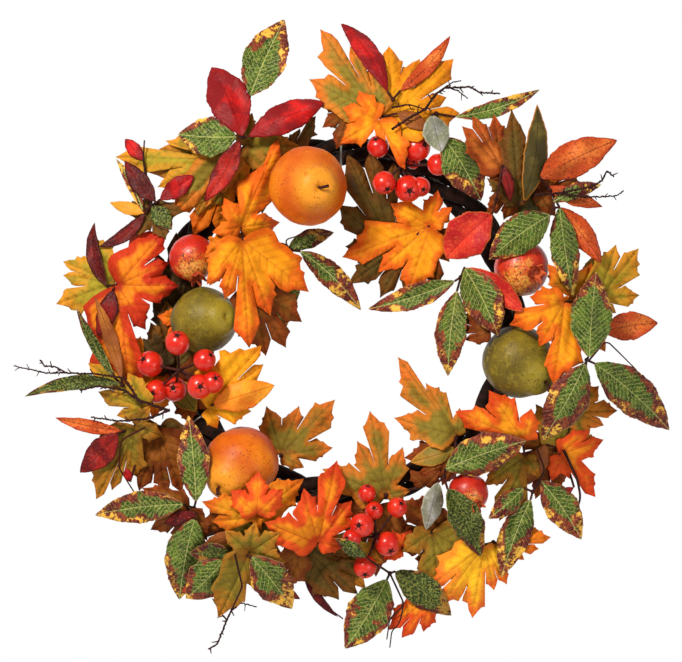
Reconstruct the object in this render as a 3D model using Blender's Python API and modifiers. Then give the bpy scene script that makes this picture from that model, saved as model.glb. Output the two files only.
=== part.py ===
"""Harvest door wreath: a ring of twisted vine round a frame wire, with a hanging eye and a swinging
loop at its top, leaf picks, pears, pomegranates, berry sprays and bare twigs laid over it.
Metres, +Z up. The wreath hangs in the X Z plane with the door at y = 0 and the room towards -Y."""

import math

import bmesh
import bpy
import numpy as np
from mathutils import Matrix, Vector, geometry


# ---------------------------------------------------------------- driving dimensions
# The design is drawn on a pattern grid counted from its upper left corner, like a paper pattern.
U = 0.00092                  # one pattern unit, m
PAT_X, PAT_Z = 341.0, 322.0  # ring centre on the pattern grid
RING_R = 0.158               # centre line of the vine ring
RING_D = 0.0215              # depth of that centre line in front of the door
STRAND_R = 0.0065            # one vine strand
STRAND_ORBIT = 0.0085        # distance of a strand from the centre line
STRAND_TWISTS = 7
FRAME_WIRE_R = 0.0013
TIE_R = 0.0009               # tie wires
TIE_RING = 0.0166            # radius of a tie wire round the bundle
EYE_R = 0.0010               # wire of the hanging eye
EYE_RING = 0.0205
EYE_UP = 0.0040
LOOP_R = 0.0011              # wire of the swinging hanging loop
LOOP_W, LOOP_H = 0.0150, 0.0340
GAP = 0.0006                 # least clearance between neighbours

# Each pick: name, hub on the pattern grid, depth share, then rows in the order they lie, back first.
# Row: kind, base, tip or tips, width (units), sideways bend, look
#   B = one blade, M = lobed leaf, T = bare stem along the points, W = its radius in mm
PICKS = [
    ("maple_pick_left_back", (168, 372), 0.0, [
        ("M", (178, 334), [(156, 252), (176, 232), (190, 268), (152, 300)], 1.1, 0, "dark"),
        ("M", (172, 368), [(150, 322), (166, 300), (196, 296), (206, 338)], 1.1, 0, "darkolive"),
        ("M", (160, 370), [(118, 338), (110, 384), (128, 416), (152, 420)], 1.1, 0, "yelloworange"),
        ("M", (184, 385), [(214, 348), (230, 372), (216, 408), (190, 424)], 1.1, 0, "brown"),
        ("M", (168, 366), [(142, 338), (153, 333), (168, 345), (140, 372)], 1.0, 0, "dark"),
        ("M", (196, 322), [(157, 316), (165, 338), (178, 300)], 1.0, 0, "orange"),
        ("B", (172, 380), (196, 412), 26, 0, "olive"),
    ]),
    ("maple_pick_inner_top", (425, 226), 0.2, [
        ("M", (392, 250), [(347, 154), (370, 150), (394, 162), (338, 204), (402, 205), (345, 246)], 1.1, 0, "olive"),
        ("M", (412, 240), [(380, 298), (348, 284), (405, 292)], 0.9, 0, "darkolive"),
        ("M", (432, 240), [(435, 290), (450, 262), (466, 232)], 0.9, 0, "brown"),
        ("M", (430, 226), [(342, 257), (378, 272), (408, 294), (390, 203), (438, 190), (452, 207)], 1.05, 0, "orange"),
    ]),
    ("BERRIES", "berries_top"),
    ("maple_pick_top", (380, 117), 0.7, [
        ("M", (352, 108), [(336, 150), (318, 103), (322, 128)], 0.9, 0, "brown"),
        ("B", (385, 116), (374, 64), 14, 0.05, "yellowolive"),
        ("M", (392, 118), [(389, 45), (420, 58), (454, 58), (447, 97), (460, 113)], 1.3, 0, "yellow"),
        ("B", (397, 114), (429, 131), 17, 0.08, "brown"),
        ("M", (380, 115), [(309, 79), (320, 28), (350, 45), (372, 63)], 1.0, 0, "yelloworange"),
        ("M", (378, 120), [(405, 170), (385, 142), (340, 144), (342, 108), (358, 91)], 1.05, 0, "orange"),
    ]),
    ("laurel_pick_top", (436, 114), 0.3, [
        ("B", (455, 117), (541, 88), 17, -0.10, "laurel"),
        ("B", (443, 138), (481, 201), 41, 0.05, "laurel"),
        ("B", (431, 116), (441, 153), 27, 0.0, "grey"),
    ]),
    ("red_pick_top", (393, 100), 0.9, [
        ("B", (400, 91), (451, 34), 16, -0.10, "rust"),
        ("B", (387, 92), (341, 22), 22, -0.14, "red"),
    ]),
    ("TWIG", "twig_top_right"),
    ("maple_pick_upper_left", (238, 152), 0.2, [
        ("M", (290, 152), [(316, 115), (256, 138), (300, 128)], 0.9, 0, "darkolive"),
        ("M", (268, 132), [(250, 172), (240, 145), (262, 166)], 1.0, 0, "brown"),
        ("M", (262, 148), [(238, 190), (262, 214), (282, 162)], 1.0, 0, "darkolive"),
        ("M", (234, 160), [(170, 214), (192, 236), (218, 236), (246, 204)], 1.0, 0, "yelloworange"),
        ("M", (224, 158), [(148, 172), (172, 200), (196, 216), (158, 148)], 1.1, 0, "olive"),
        ("M", (222, 160), [(114, 156), (165, 140), (157, 187), (190, 150)], 0.9, 0, "yellowolive"),
        ("M", (244, 146), [(252, 112), (276, 112), (300, 146), (268, 172)], 1.0, 0, "olive"),
        ("M", (236, 152), [(175, 213), (205, 208), (222, 195)], 1.0, 0, "oliveorange"),
    ]),
    ("maple_pick_left", (117, 285), 0.6, [
        ("M", (115, 283), [(55, 304), (62, 275), (62, 261), (90, 235)], 1.1, 0, "yellowolive"),
        ("M", (118, 285), [(167, 229), (170, 262), (180, 286), (146, 330), (131, 400)], 1.1, 0, "redorange"),
        ("B", (113, 290), (97, 336), 21, 0.10, "burgundy"),
        ("B", (107, 286), (94, 222), 15, 0.22, "burgundy"),
    ]),
    ("leaf_pick_far_left", (152, 206), 0.5, [
        ("M", (154, 208), [(122, 212), (136, 236), (166, 240), (184, 212)], 1.0, 0, "darkolive"),
        ("B", (152, 206), (172, 230), 20, 0.0, "darkgreen"),
        ("B", (146, 212), (109, 202), 13, 0.05, "yellow"),
        ("B", (143, 160), (124, 138), 14, 0.0, "red"),
        ("T", [(152, 206), (146, 180), (143, 160), (144, 140)], 1.1, 0, 0, "twig"),
        ("B", (143, 211), (115, 158), 11, -0.08, "laurel"),
        ("B", (156, 202), (124, 160), 20, 0.04, "burgundy"),
        ("B", (145, 213), (98, 247), 14, 0.20, "burgundy"),
        ("B", (160, 200), (194, 176), 20, 0.0, "red"),
    ]),
    ("FRUIT", "pomegranate_left"),
    ("FRUIT", "pear_inner_left"),
    ("laurel_pick_inner_left", (291, 250), 0.5, [
        ("B", (288, 248), (334, 232), 19, 0.08, "darkgreen"),
        ("B", (300, 251), (361, 310), 25, 0.10, "laurel"),
        ("B", (290, 253), (279, 338), 34, -0.06, "laurel"),
        ("T", [(291, 250), (283, 241), (270, 247)], 0.8, 0, 0, "twig"),
        ("T", [(291, 250), (283, 240), (300, 235)], 0.8, 0, 0, "twig"),
    ]),
    ("maple_pick_inner_left", (243, 236), 0.8, [
        ("M", (252, 284), [(302, 322), (286, 348), (266, 356)], 1.1, 0, "brown"),
        ("M", (242, 234), [(204, 258), (210, 286), (238, 276)], 1.1, 0, "yelloworange"),
        ("M", (241, 228), [(279, 139), (262, 165), (224, 198), (213, 233), (280, 222)], 1.0, 0, "orange"),
        ("M", (243, 240), [(250, 348), (309, 292), (208, 285), (271, 316), (226, 300)], 1.05, 0, "orange"),
    ]),
    ("FRUIT", "pear_top"),
    ("maple_pick_low_left_inner", (208, 408), 0.5, [
        ("M", (208, 408), [(262, 345), (264, 364), (252, 411), (218, 428)], 1.15, 0, "yellow"),
        ("B", (214, 404), (275, 385), 30, 0.0, "yellowolive"),
    ]),
    ("BERRIES", "berries_left"),
    ("laurel_pick_upper_left", (243, 138), 0.9, [
        ("B", (250, 96), (284, 18), 44, 0.03, "laurel"),
        ("T", [(243, 138), (247, 118), (250, 96)], 1.3, 0, 0, "twig"),
        ("B", (237, 137), (178, 134), 40, 0.06, "laurel"),
        ("B", (240, 140), (204, 203), 22, 0.08, "burgundyred"),
        ("B", (249, 137), (324, 103), 31, 0.05, "red"),
        ("B", (243, 137), (211, 66), 42, -0.06, "red"),
    ]),
    ("maple_pick_upper_right", (533, 182), 0.2, [
        ("B", (533, 186), (524, 232), 36, 0.0, "darkolive"),
        ("M", (516, 186), [(486, 214), (484, 166), (504, 220)], 1.0, 0, "brown"),
        ("M", (504, 172), [(462, 126), (472, 116), (494, 114), (514, 130)], 1.0, 0, "brown"),
        ("M", (538, 190), [(568, 168), (588, 184), (556, 216)], 1.0, 0, "brown"),
        ("M", (545, 175), [(545, 154), (572, 160), (560, 148)], 1.1, 0, "yelloworange"),
        ("M", (518, 206), [(512, 108), (486, 178), (534, 160)], 0.60, 0, "olive"),
        ("B", (524, 202), (538, 103), 24, -0.10, "olive"),
    ]),
    ("red_pick_inner_right", (496, 200), 0.6, [
        ("B", (502, 165), (510, 203), 12, 0.10, "burgundy"),
        ("B", (492, 214), (446, 258), 44, -0.05, "redpink"),
    ]),
    ("FRUIT", "pomegranate_right"),
    ("FRUIT", "pear_right"),
    ("maple_pick_right", (585, 301), 0.5, [
        ("B", (590, 300), (594, 256), 26, 0.0, "yellowolive"),
        ("M", (590, 326), [(558, 300), (556, 348), (606, 352), (624, 326)], 1.0, 0, "oliveorange"),
        ("M", (578, 302), [(546, 264), (558, 300), (592, 262)], 1.0, 0, "yelloworange"),
        ("M", (598, 300), [(617, 244), (640, 248), (641, 295), (617, 313)], 1.05, 0, "yellowolive"),
        ("M", (563, 302), [(508, 325), (528, 297), (537, 347), (552, 385)], 1.15, 0, "orange"),
    ]),
    ("red_pick_upper_right", (550, 190), 0.6, [
        ("B", (560, 207), (601, 263), 25, 0.05, "rust"),
        ("B", (548, 186), (604, 206), 17, -0.05, "rust"),
        ("B", (540, 178), (619, 139), 36, 0.05, "rust"),
    ]),
    ("laurel_pick_upper_right", (554, 208), 0.9, [
        ("B", (553, 202), (603, 184), 17, 0.10, "laurel"),
        ("B", (560, 207), (573, 297), 29, -0.05, "laurel"),
        ("B", (550, 215), (488, 260), 39, -0.06, "laurel"),
    ]),
    ("TWIG", "twig_right"),
    ("laurel_pick_inner_right", (461, 277), 0.5, [
        ("M", (490, 332), [(443, 325), (465, 340), (459, 316)], 1.1, 0, "brown"),
        ("B", (464, 268), (521, 312), 26, 0.06, "redpink"),
        ("B", (457, 291), (448, 376), 31, -0.05, "laurel"),
        ("B", (455, 281), (368, 309), 25, 0.05, "laurel"),
        ("B", (464, 268), (497, 336), 39, 0.05, "laurel"),
    ]),
    ("maple_pick_low_right", (564, 450), 0.2, [
        ("M", (556, 446), [(514, 438), (516, 470), (536, 500), (560, 492)], 1.0, 0, "brown"),
        ("M", (562, 446), [(536, 404), (566, 388), (596, 402), (600, 440)], 1.0, 0, "olive"),
        ("M", (575, 412), [(600, 386), (619, 411), (605, 426), (588, 442)], 1.1, 0, "oliveorange"),
        ("M", (560, 455), [(590, 430), (605, 440), (597, 498), (572, 480), (552, 482)], 1.0, 0, "redorange"),
        ("B", (547, 445), (524, 487), 23, 0.0, "brown"),
        ("B", (575, 488), (553, 500), 10, 0.0, "red"),
        ("T", [(564, 450), (578, 480), (582, 500), (573, 520)], 1.4, 0, 0, "twig"),
    ]),
    ("laurel_pick_right", (587, 360), 0.8, [
        ("T", [(587, 360), (605, 340), (618, 352), (637, 370)], 0.9, 0, 0, "burgundy"),
        ("B", (603, 331), (660, 323), 29, 0.04, "rust"),
        ("B", (583, 370), (540, 434), 36, 0.15, "darkgreen"),
        ("B", (587, 357), (596, 272), 43, 0.03, "laurel"),
        ("B", (583, 363), (541, 440), 40, 0.04, "laurel"),
        ("B", (592, 363), (672, 431), 42, 0.06, "laurel"),
    ]),
    ("maple_pick_low_right_inner", (456, 438), 0.3, [
        ("M", (456, 452), [(404, 458), (418, 476), (442, 486)], 1.0, 0, "brown"),
        ("B", (455, 448), (410, 462), 20, 0.04, "oliveorange"),
        ("M", (457, 436), [(394, 418), (398, 357), (426, 383), (460, 408)], 0.9, 0, "oliveorange"),
    ]),
    ("maple_pick_orange_right", (523, 444), 0.5, [
        ("M", (525, 456), [(484, 486), (500, 522), (540, 478)], 1.0, 0, "olive"),
        ("M", (522, 440), [(455, 411), (488, 390), (476, 440), (530, 408)], 1.2, 0, "yelloworangered"),
    ]),
    ("FRUIT", "pomegranate_low"),
    ("maple_pick_low_inner", (386, 495), 0.3, [
        ("M", (378, 505), [(343, 515), (346, 556), (376, 578), (412, 556)], 1.0, 0, "brown"),
        ("M", (386, 495), [(322, 469), (357, 441), (370, 411), (403, 447), (411, 490)], 0.95, 0, "oliveorange"),
        ("M", (425, 486), [(410, 470), (440, 470)], 1.1, 0, "brown"),
    ]),
    ("maple_pick_bottom", (418, 548), 0.2, [
        ("M", (430, 598), [(388, 632), (402, 640), (424, 634)], 1.0, 0, "redorange"),
        ("M", (448, 530), [(398, 500), (390, 548), (420, 582), (474, 592)], 1.0, 0, "brown"),
        ("M", (402, 548), [(383, 560), (411, 530), (392, 530)], 1.1, 0, "redorange"),
        ("M", (432, 532), [(478, 559), (458, 584), (440, 590), (402, 552)], 1.15, 0, "olive"),
    ]),
    ("maple_pick_bottom_right", (494, 543), 0.3, [
        ("M", (505, 545), [(552, 538), (540, 550), (525, 561)], 1.0, 0, "yelloworange"),
        ("M", (485, 545), [(508, 586), (495, 592), (473, 620), (440, 607), (430, 588)], 1.0, 0, "yellowred"),
    ]),
    ("maple_pick_inner_bottom", (281, 456), 0.3, [
        ("M", (281, 455), [(266, 406), (299, 406), (335, 400), (333, 448), (304, 468)], 1.0, 0, "oliveorange"),
    ]),
    ("FRUIT", "pear_left"),
    ("maple_pick_low_left", (257, 514), 0.5, [
        ("M", (256, 516), [(192, 530), (204, 552), (232, 560)], 1.0, 0, "brown"),
        ("M", (262, 518), [(212, 566), (236, 588), (278, 580), (294, 548)], 1.0, 0, "olive"),
        ("M", (255, 515), [(203, 500), (304, 478), (262, 528), (212, 520)], 1.0, 0, "yelloworange"),
        ("M", (258, 512), [(232, 488), (259, 469), (284, 487)], 1.15, 0, "redorange"),
    ]),
    ("maple_pick_red_bottom", (309, 547), 0.6, [
        ("T", [(309, 547), (303, 573), (312, 597), (343, 620)], 1.1, 0, 0, "burgundy"),
        ("B", (304, 576), (338, 618), 9, -0.12, "burgundy"),
        ("M", (326, 546), [(296, 572), (320, 596), (366, 590), (384, 562)], 1.0, 0, "olive"),
        ("M", (306, 550), [(339, 601), (358, 595), (374, 572), (352, 555)], 1.1, 0, "darkolive"),
        ("M", (302, 551), [(270, 575), (287, 587)], 1.2, 0, "brown"),
        ("M", (318, 542), [(304, 487), (337, 460), (352, 500), (265, 520), (345, 545)], 1.1, 0, "redorange"),
    ]),
    ("BERRIES", "berries_bottom"),
    ("laurel_pick_bottom", (390, 574), 0.4, [
        ("B", (366, 556), (335, 537), 15, 0.0, "darkgreen"),
        ("T", [(390, 574), (405, 606), (390, 620), (387, 641)], 0.9, 0, 0, "twig"),
        ("T", [(390, 574), (404, 604), (400, 625), (392, 632), (390, 649)], 0.9, 0, 0, "twig"),
        ("B", (395, 572), (452, 617), 33, 0.05, "darkgreen"),
        ("B", (387, 580), (345, 650), 44, 0.05, "laurel"),
    ]),
    ("laurel_pick_low_right_inner", (444, 477), 0.6, [
        ("B", (438, 482), (426, 530), 21, 0.0, "grey"),
        ("B", (447, 488), (481, 557), 33, 0.08, "darkgreen"),
        ("B", (445, 469), (525, 440), 41, 0.05, "laurel"),
    ]),
    ("laurel_pick_low_right", (533, 492), 0.8, [
        ("B", (531, 500), (502, 578), 32, -0.05, "laurel"),
        ("B", (524, 488), (488, 518), 22, 0.05, "laurel"),
        ("B", (541, 481), (583, 541), 34, 0.06, "laurel"),
        ("T", [(533, 492), (545, 470), (536, 446)], 1.0, 0, 0, "twig"),
    ]),
    ("leaf_pick_low_left", (146, 427), 0.4, [
        ("M", (160, 426), [(116, 462), (150, 478), (190, 472), (196, 440)], 1.0, 0, "darkolive"),
        ("M", (158, 428), [(138, 492), (165, 496), (182, 494)], 1.0, 0, "brown"),
        ("M", (147, 408), [(87, 363), (97, 392), (116, 416), (128, 372)], 1.0, 0, "yellowolive"),
        ("M", (135, 425), [(95, 500), (111, 491), (128, 482), (164, 436), (152, 405)], 1.05, 0, "olive"),
        ("B", (122, 431), (54, 418), 14, 0.05, "rust"),
        ("B", (118, 433), (79, 473), 27, 0.05, "burgundyred"),
        ("T", [(146, 427), (121, 440), (119, 468), (143, 508)], 0.9, 0, 0, "burgundy"),
        ("B", (130, 482), (126, 468), 9, 0.0, "red"),
    ]),
    ("laurel_pick_low_left", (194, 508), 0.8, [
        ("M", (190, 508), [(142, 488), (150, 530), (176, 548), (208, 540)], 1.0, 0, "brown"),
        ("B", (198, 512), (164, 523), 15, 0.0, "burgundyred"),
        ("B", (196, 517), (179, 600), 42, -0.04, "laurel"),
        ("B", (185, 503), (94, 516), 32, -0.06, "laurel"),
        ("B", (197, 500), (189, 415), 32, -0.04, "laurel"),
    ]),
    ("laurel_pick_bottom_left", (236, 552), 0.6, [
        ("B", (240, 530), (203, 545), 14, 0.0, "brown"),
        ("B", (238, 562), (182, 592), 24, 0.0, "rust"),
        ("B", (246, 566), (300, 600), 20, 0.0, "burgundy"),
        ("B", (232, 551), (190, 552), 22, 0.0, "darkgreen"),
        ("B", (225, 558), (186, 598), 39, 0.05, "laurel"),
        ("M", (250, 550), [(218, 618), (226, 528), (256, 520), (281, 530), (286, 562), (262, 596)], 1.0, 0, "olive"),
        ("B", (252, 555), (292, 609), 39, 0.05, "laurel"),
        ("T", [(236, 552), (243, 585), (226, 622), (217, 645)], 1.0, 0, 0, "twig"),
    ]),
    ("laurel_pick_far_left", (123, 385), 0.5, [
        ("B", (115, 378), (76, 307), 11, 0.05, "darkgreen"),
        ("B", (122, 380), (95, 297), 14, -0.05, "brown"),
        ("B", (122, 384), (23, 397), 15, -0.15, "darkgreen"),
    ]),
    ("TWIG", "twig_left"),
    ("TWIG", "twig_bottom"),
]

# Bare twigs: name: list of (points, radius in mm); the first one carries the others.
TWIGS = {
    "twig_top_right": [
        ([(392, 130), (410, 118), (425, 110), (435, 95), (445, 88), (470, 86), (480, 92), (500, 93)], 1.2),
        ([(430, 102), (441, 90), (453, 82), (461, 80)], 0.8),
        ([(448, 87), (458, 90), (468, 98)], 0.8),
        ([(392, 108), (408, 105), (425, 110)], 0.9),
    ],
    "twig_right": [
        ([(535, 195), (560, 193), (590, 187), (603, 180), (608, 170), (615, 176)], 1.1),
        ([(555, 193), (585, 197), (608, 196), (618, 195), (625, 190)], 0.9),
    ],
    "twig_left": [
        ([(170, 410), (140, 400), (125, 390), (100, 386), (80, 390)], 1.3),
        ([(140, 400), (125, 378), (98, 374), (66, 373), (55, 367), (43, 366), (39, 360)], 1.1),
        ([(66, 373), (45, 373), (30, 370), (12, 366)], 0.8),
        ([(170, 410), (150, 418), (120, 421), (91, 417)], 1.1),
    ],
    "twig_bottom": [
        ([(262, 520), (250, 560), (243, 585), (238, 597), (226, 622), (217, 645), (208, 651)], 1.2),
        ([(231, 612), (240, 604), (256, 608)], 0.8),
        ([(226, 622), (219, 612), (212, 600)], 0.8),
    ],
}

# Fruit: kind, centre, radius (units), direction of the neck or calyx (right, forward, up)
FRUIT = {
    "pear_top": ("pear", (309, 187), 39.0, (0.26, 0.96, -0.06)),
    "pear_left": ("pear", (239, 466), 37.0, (-0.48, 0.68, -0.50)),
    "pear_right": ("pear", (521, 364), 36.0, (0.60, 0.62, -0.46)),
    "pear_inner_left": ("pear", (207, 320), 33.0, (0.55, 0.75, 0.10)),
    "pomegranate_left": ("pomegranate", (193, 258), 24.0, (0.20, 0.60, -0.78)),
    "pomegranate_right": ("pomegranate", (521, 268), 28.0, (0.42, 0.88, -0.18)),
    "pomegranate_low": ("pomegranate", (468, 493), 20.5, (0.40, 0.75, -0.52)),
}
STEMMED = {"pear_top": (0.012, (0.9, 0.25, 0.20)), "pear_left": (0.009, (0.1, 0.5, -0.8)), "pear_right": (0.011, (0.1, 0.3, -0.9))}

# Berries: hub, then centre and radius (units) of each, and the direction its calyx looks
BERRIES = {
    "berries_top": ((402, 166), [
        ((378, 147), 11.0, (-0.2, 0.6, 0.6)), ((416, 148), 14.0, (0.6, 0.7, 0.2)), ((438, 165), 11.0, (0.7, 0.5, 0.0)),
        ((413, 163), 6.5, (0.1, 0.9, 0.1)), ((420, 187), 10.0, (0.3, 0.8, -0.3)), ((384, 183), 11.5, (0.3, 0.7, -0.6)),
        ((408, 189), 13.5, (0.1, 0.95, -0.2))]),
    "berries_left": ((180, 370), [
        ((179, 343), 12.0, (0.0, 0.7, 0.65)), ((151, 364), 13.0, (-0.55, 0.7, 0.4)), ((206, 360), 11.0, (0.6, 0.6, 0.5)),
        ((214, 382), 11.0, (0.3, 0.8, 0.4)), ((175, 389), 12.5, (-0.1, 0.95, 0.1)), ((157, 391), 11.5, (-0.3, 0.9, -0.2)),
        ((201, 386), 12.5, (0.1, 0.95, 0.0))]),
    "berries_bottom": ((376, 536), [
        ((367, 493), 9.0, (0.1, 0.5, 0.8)), ((397, 507), 10.0, (0.4, 0.7, 0.4)), ((374, 510), 9.0, (0.0, 0.9, 0.3)),
        ((352, 537), 9.0, (-0.6, 0.7, 0.0)), ((362, 524), 12.0, (-0.3, 0.95, 0.0)), ((387, 543), 12.0, (0.3, 0.7, -0.6)),
        ((365, 566), 11.5, (0.0, 0.7, -0.7))]),
}

# ---------------------------------------------------------------- laying the pieces on each other
# Depth is measured from the door towards the room, so y = -depth. FIELD keeps the front of all
# that is already laid, and each new piece is laid in front of it with a clearance.
HALF, CELL = 0.330, 0.0015
SIDE = int(2 * HALF / CELL)
FIELD = np.full((SIDE, SIDE), -1.0)


def pat(p):
    return np.array([(p[0] - PAT_X) * U, (PAT_Z - p[1]) * U])


def cells(xz):
    ij = np.floor((xz + HALF) / CELL).astype(int)
    return np.clip(ij, 1, SIDE - 2)


def put(xz, depth):
    ij = cells(xz)
    np.maximum.at(FIELD, (ij[:, 0], ij[:, 1]), depth)


def spread(field):
    wide = field.copy()
    for di in (-1, 0, 1):
        for dj in (-1, 0, 1):
            wide = np.maximum(wide, np.roll(np.roll(field, di, 0), dj, 1))
    return wide


def envelope(xz, share):
    """Natural depth of a leaf there: deepest over the ring, falling back towards the tips."""
    rho = np.hypot(xz[:, 0], xz[:, 1])
    width = np.where(rho > RING_R, 0.085, 0.060)
    depth = 0.027 + (0.014 + 0.036 * share) * np.exp(-(((rho - RING_R) / width) ** 2))
    # Leaves are pressed back where a fruit sits.
    for _, centre, radius, _ in FRUIT.values():
        off = np.hypot(*(xz - pat(centre)).T) / (1.25 * radius * U)
        depth = depth - 0.018 * np.clip(1 - off ** 2, 0, 1)
    return depth


def tri_samples(xz, tris, step):
    """Barycentric samples over every triangle: triangle number and the three weights."""
    numbers, weights = [], []
    a, b, c = xz[tris[:, 0]], xz[tris[:, 1]], xz[tris[:, 2]]
    longest = np.max([np.linalg.norm(a - b, axis=1), np.linalg.norm(b - c, axis=1), np.linalg.norm(c - a, axis=1)], axis=0)
    parts = np.clip(np.ceil(longest / step), 1, 60).astype(int)
    for n in np.unique(parts):
        which = np.nonzero(parts == n)[0]
        grid = np.array([(i, j, n - i - j) for i in range(n + 1) for j in range(n + 1 - i)], float) / n
        numbers.append(np.repeat(which, len(grid)))
        weights.append(np.tile(grid, (len(which), 1)))
    return np.concatenate(numbers), np.concatenate(weights)


def drape(xz, tris, natural, thick, own_field, other_field, hub, step=0.0011, slope=0.55, near=0.0075):
    """Front depth of every vertex, so that the slab behind it clears all that is laid."""
    number, weight = tri_samples(xz, tris, step)
    at = np.einsum("ij,ijk->ik", weight, xz[tris[number]])
    ij = cells(at)
    need = own_field[ij[:, 0], ij[:, 1]]
    if hub is not None:
        close = np.hypot(*(at - hub).T) < near
        need = np.where(close, other_field[ij[:, 0], ij[:, 1]], need)
    need = need + thick + GAP
    rest = (weight * natural[tris[number]]).sum(1)
    lack = need - rest
    depth = natural.copy()
    bad = lack > 0
    if bad.any():
        gap_to = np.linalg.norm(xz[:, None, :] - at[bad][None, :, :], axis=2)
        depth = depth + np.maximum(0.0, (lack[bad][None, :] - slope * gap_to).max(axis=1))
    for _ in range(60):
        lack = need - (weight * depth[tris[number]]).sum(1)
        bad = lack > 1e-6
        if not bad.any():
            break
        push = np.zeros(len(depth))
        w = weight[bad]
        share = lack[bad][:, None] * w / (w ** 2).sum(1)[:, None]
        for k in range(3):
            np.maximum.at(push, tris[number[bad], k], share[:, k])
        depth = depth + push
    depth = depth + max(0.0, float((need - (weight * depth[tris[number]]).sum(1)).max()))
    return depth, at, (weight * depth[tris[number]]).sum(1)


def axis_points(base, tip, bend, count):
    """The rib of a blade: a bowed line from base to tip, with its sideways directions."""
    t = np.linspace(0.0, 1.0, count)[:, None]
    run = tip - base
    side = np.array([-run[1], run[0]])
    mid = (base + tip) / 2 + side * bend
    line = (1 - t) ** 2 * base + 2 * t * (1 - t) * mid + t ** 2 * tip
    along = 2 * (1 - t) * (mid - base) + 2 * t * (tip - mid)
    along /= np.linalg.norm(along, axis=1)[:, None]
    return line, np.stack([-along[:, 1], along[:, 0]], axis=1)


def blade_outline(base, tip, bend, shares, widths):
    """Closed outline of one blade. shares: places along the rib, widths: half widths in metres."""
    count = 101
    line, side = axis_points(base, tip, bend, count)
    at = np.clip(np.round(np.array(shares) * (count - 1)).astype(int), 0, count - 1)
    left = line[at] + side[at] * np.array(widths)[:, None]
    right = line[at] - side[at] * np.array(widths)[:, None]
    return np.concatenate([[base], left, [tip], right[::-1]])


def triangulate(outlines, inner, ribs):
    """One flat sheet from overlapping outlines, with extra points inside and lines kept as edges."""
    points, edges, faces = [], [], []
    for outline in outlines:
        start = len(points)
        points += [Vector(p) for p in outline]
        faces.append(list(range(start, len(points))))
    for line in ribs:
        start = len(points)
        points += [Vector(p) for p in line]
        edges += [(k, k + 1) for k in range(start, len(points) - 1)]
    points += [Vector(p) for p in inner]
    found = geometry.delaunay_2d_cdt(points, edges, faces, 1, 1e-6)
    xz = np.array([[v.x, v.y] for v in found[0]])
    tris = np.array([list(f) for f in found[2]], int)
    return xz, tris


def tidy(xz, tris):
    """Triangles of real area, wound one way, in one connected sheet, with no vertex shared by two fans."""
    a, b, c = xz[tris[:, 0]], xz[tris[:, 1]], xz[tris[:, 2]]
    area = (b[:, 0] - a[:, 0]) * (c[:, 1] - a[:, 1]) - (b[:, 1] - a[:, 1]) * (c[:, 0] - a[:, 0])
    tris = np.where((area < 0)[:, None], tris[:, ::-1], tris)
    keep = np.abs(area) > 1e-10
    tris = tris[keep]
    used, tris = np.unique(tris, return_inverse=True)
    return xz[used], tris.reshape(-1, 3)


def rest_depth(points, field):
    """How far forward a rigid shape moves to clear all laid: points are x, depth, z relative to depth 0."""
    ij = cells(points[:, [0, 2]])
    return float((field[ij[:, 0], ij[:, 1]] + GAP - points[:, 1]).max())


def stem_path(points, radius, natural, field, step=0.004):
    """A bare stem laid over the rest: pattern points to x, depth, z."""
    flat = np.array([pat(p) for p in points])
    fine = [flat[0]]
    for a, b in zip(flat[:-1], flat[1:]):
        n = max(1, int(np.ceil(np.linalg.norm(b - a) / step)))
        fine += [a + (b - a) * k / n for k in range(1, n + 1)]
    fine = np.array(fine)
    ij = cells(fine)
    need = field[ij[:, 0], ij[:, 1]]
    reach = int(np.ceil((radius + 0.0012) / CELL))
    for di in range(-reach, reach + 1):
        for dj in range(-reach, reach + 1):
            need = np.maximum(need, field[np.clip(ij[:, 0] + di, 0, SIDE - 1), np.clip(ij[:, 1] + dj, 0, SIDE - 1)])
    need = need + radius + GAP
    depth = np.maximum(natural(fine), need)
    run = np.concatenate([[0], np.cumsum(np.linalg.norm(np.diff(fine, axis=0), axis=1))])
    lift = depth - natural(fine)
    lift = np.array([(lift - 0.6 * np.abs(run - r)).max() for r in run])
    depth = natural(fine) + np.maximum(lift, 0)
    smooth = depth.copy()
    for _ in range(3):
        smooth[1:-1] = np.maximum(need[1:-1], (smooth[:-2] + 2 * smooth[1:-1] + smooth[2:]) / 4)
    near = np.maximum.reduce([need, np.r_[need[1:], need[-1]], np.r_[need[0], need[:-1]]])
    return np.stack([fine[:, 0], np.maximum(smooth, near), fine[:, 1]], axis=1)


def put_tube(path, radius, extra=0.0):
    line = []
    for a, b in zip(path[:-1], path[1:]):
        n = max(1, int(np.ceil(np.linalg.norm(b - a) / 0.0007)))
        line.append(a + (b - a) * (np.arange(n + 1) / n)[:, None])
    line = np.concatenate(line)
    for off in np.linspace(-1, 1, 7):
        for way in ((1, 0), (0, 1), (0.7, 0.7), (0.7, -0.7)):
            xz = line[:, [0, 2]] + np.array(way) * off * radius
            put(xz, line[:, 1] + radius + extra)

LEAF_T = 0.0010              # thickness of a leaf blade
PETIOLE = 0.0015             # half width of a leaf stalk
STUB_R = 0.0024              # wrapped stub that holds the stalks of one pick

MATERIALS = {
    "vine": (0.030, 0.014, 0.010), "wire": (0.20, 0.20, 0.19), "stem": (0.10, 0.035, 0.025),
    "maple": (0.80, 0.33, 0.05), "laurel": (0.09, 0.17, 0.06), "red_leaf": (0.50, 0.05, 0.03),
    "pear_orange": (0.80, 0.33, 0.06), "pear_green": (0.25, 0.24, 0.06),
    "pomegranate": (0.55, 0.05, 0.03), "berry": (0.75, 0.06, 0.02),
}

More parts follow.
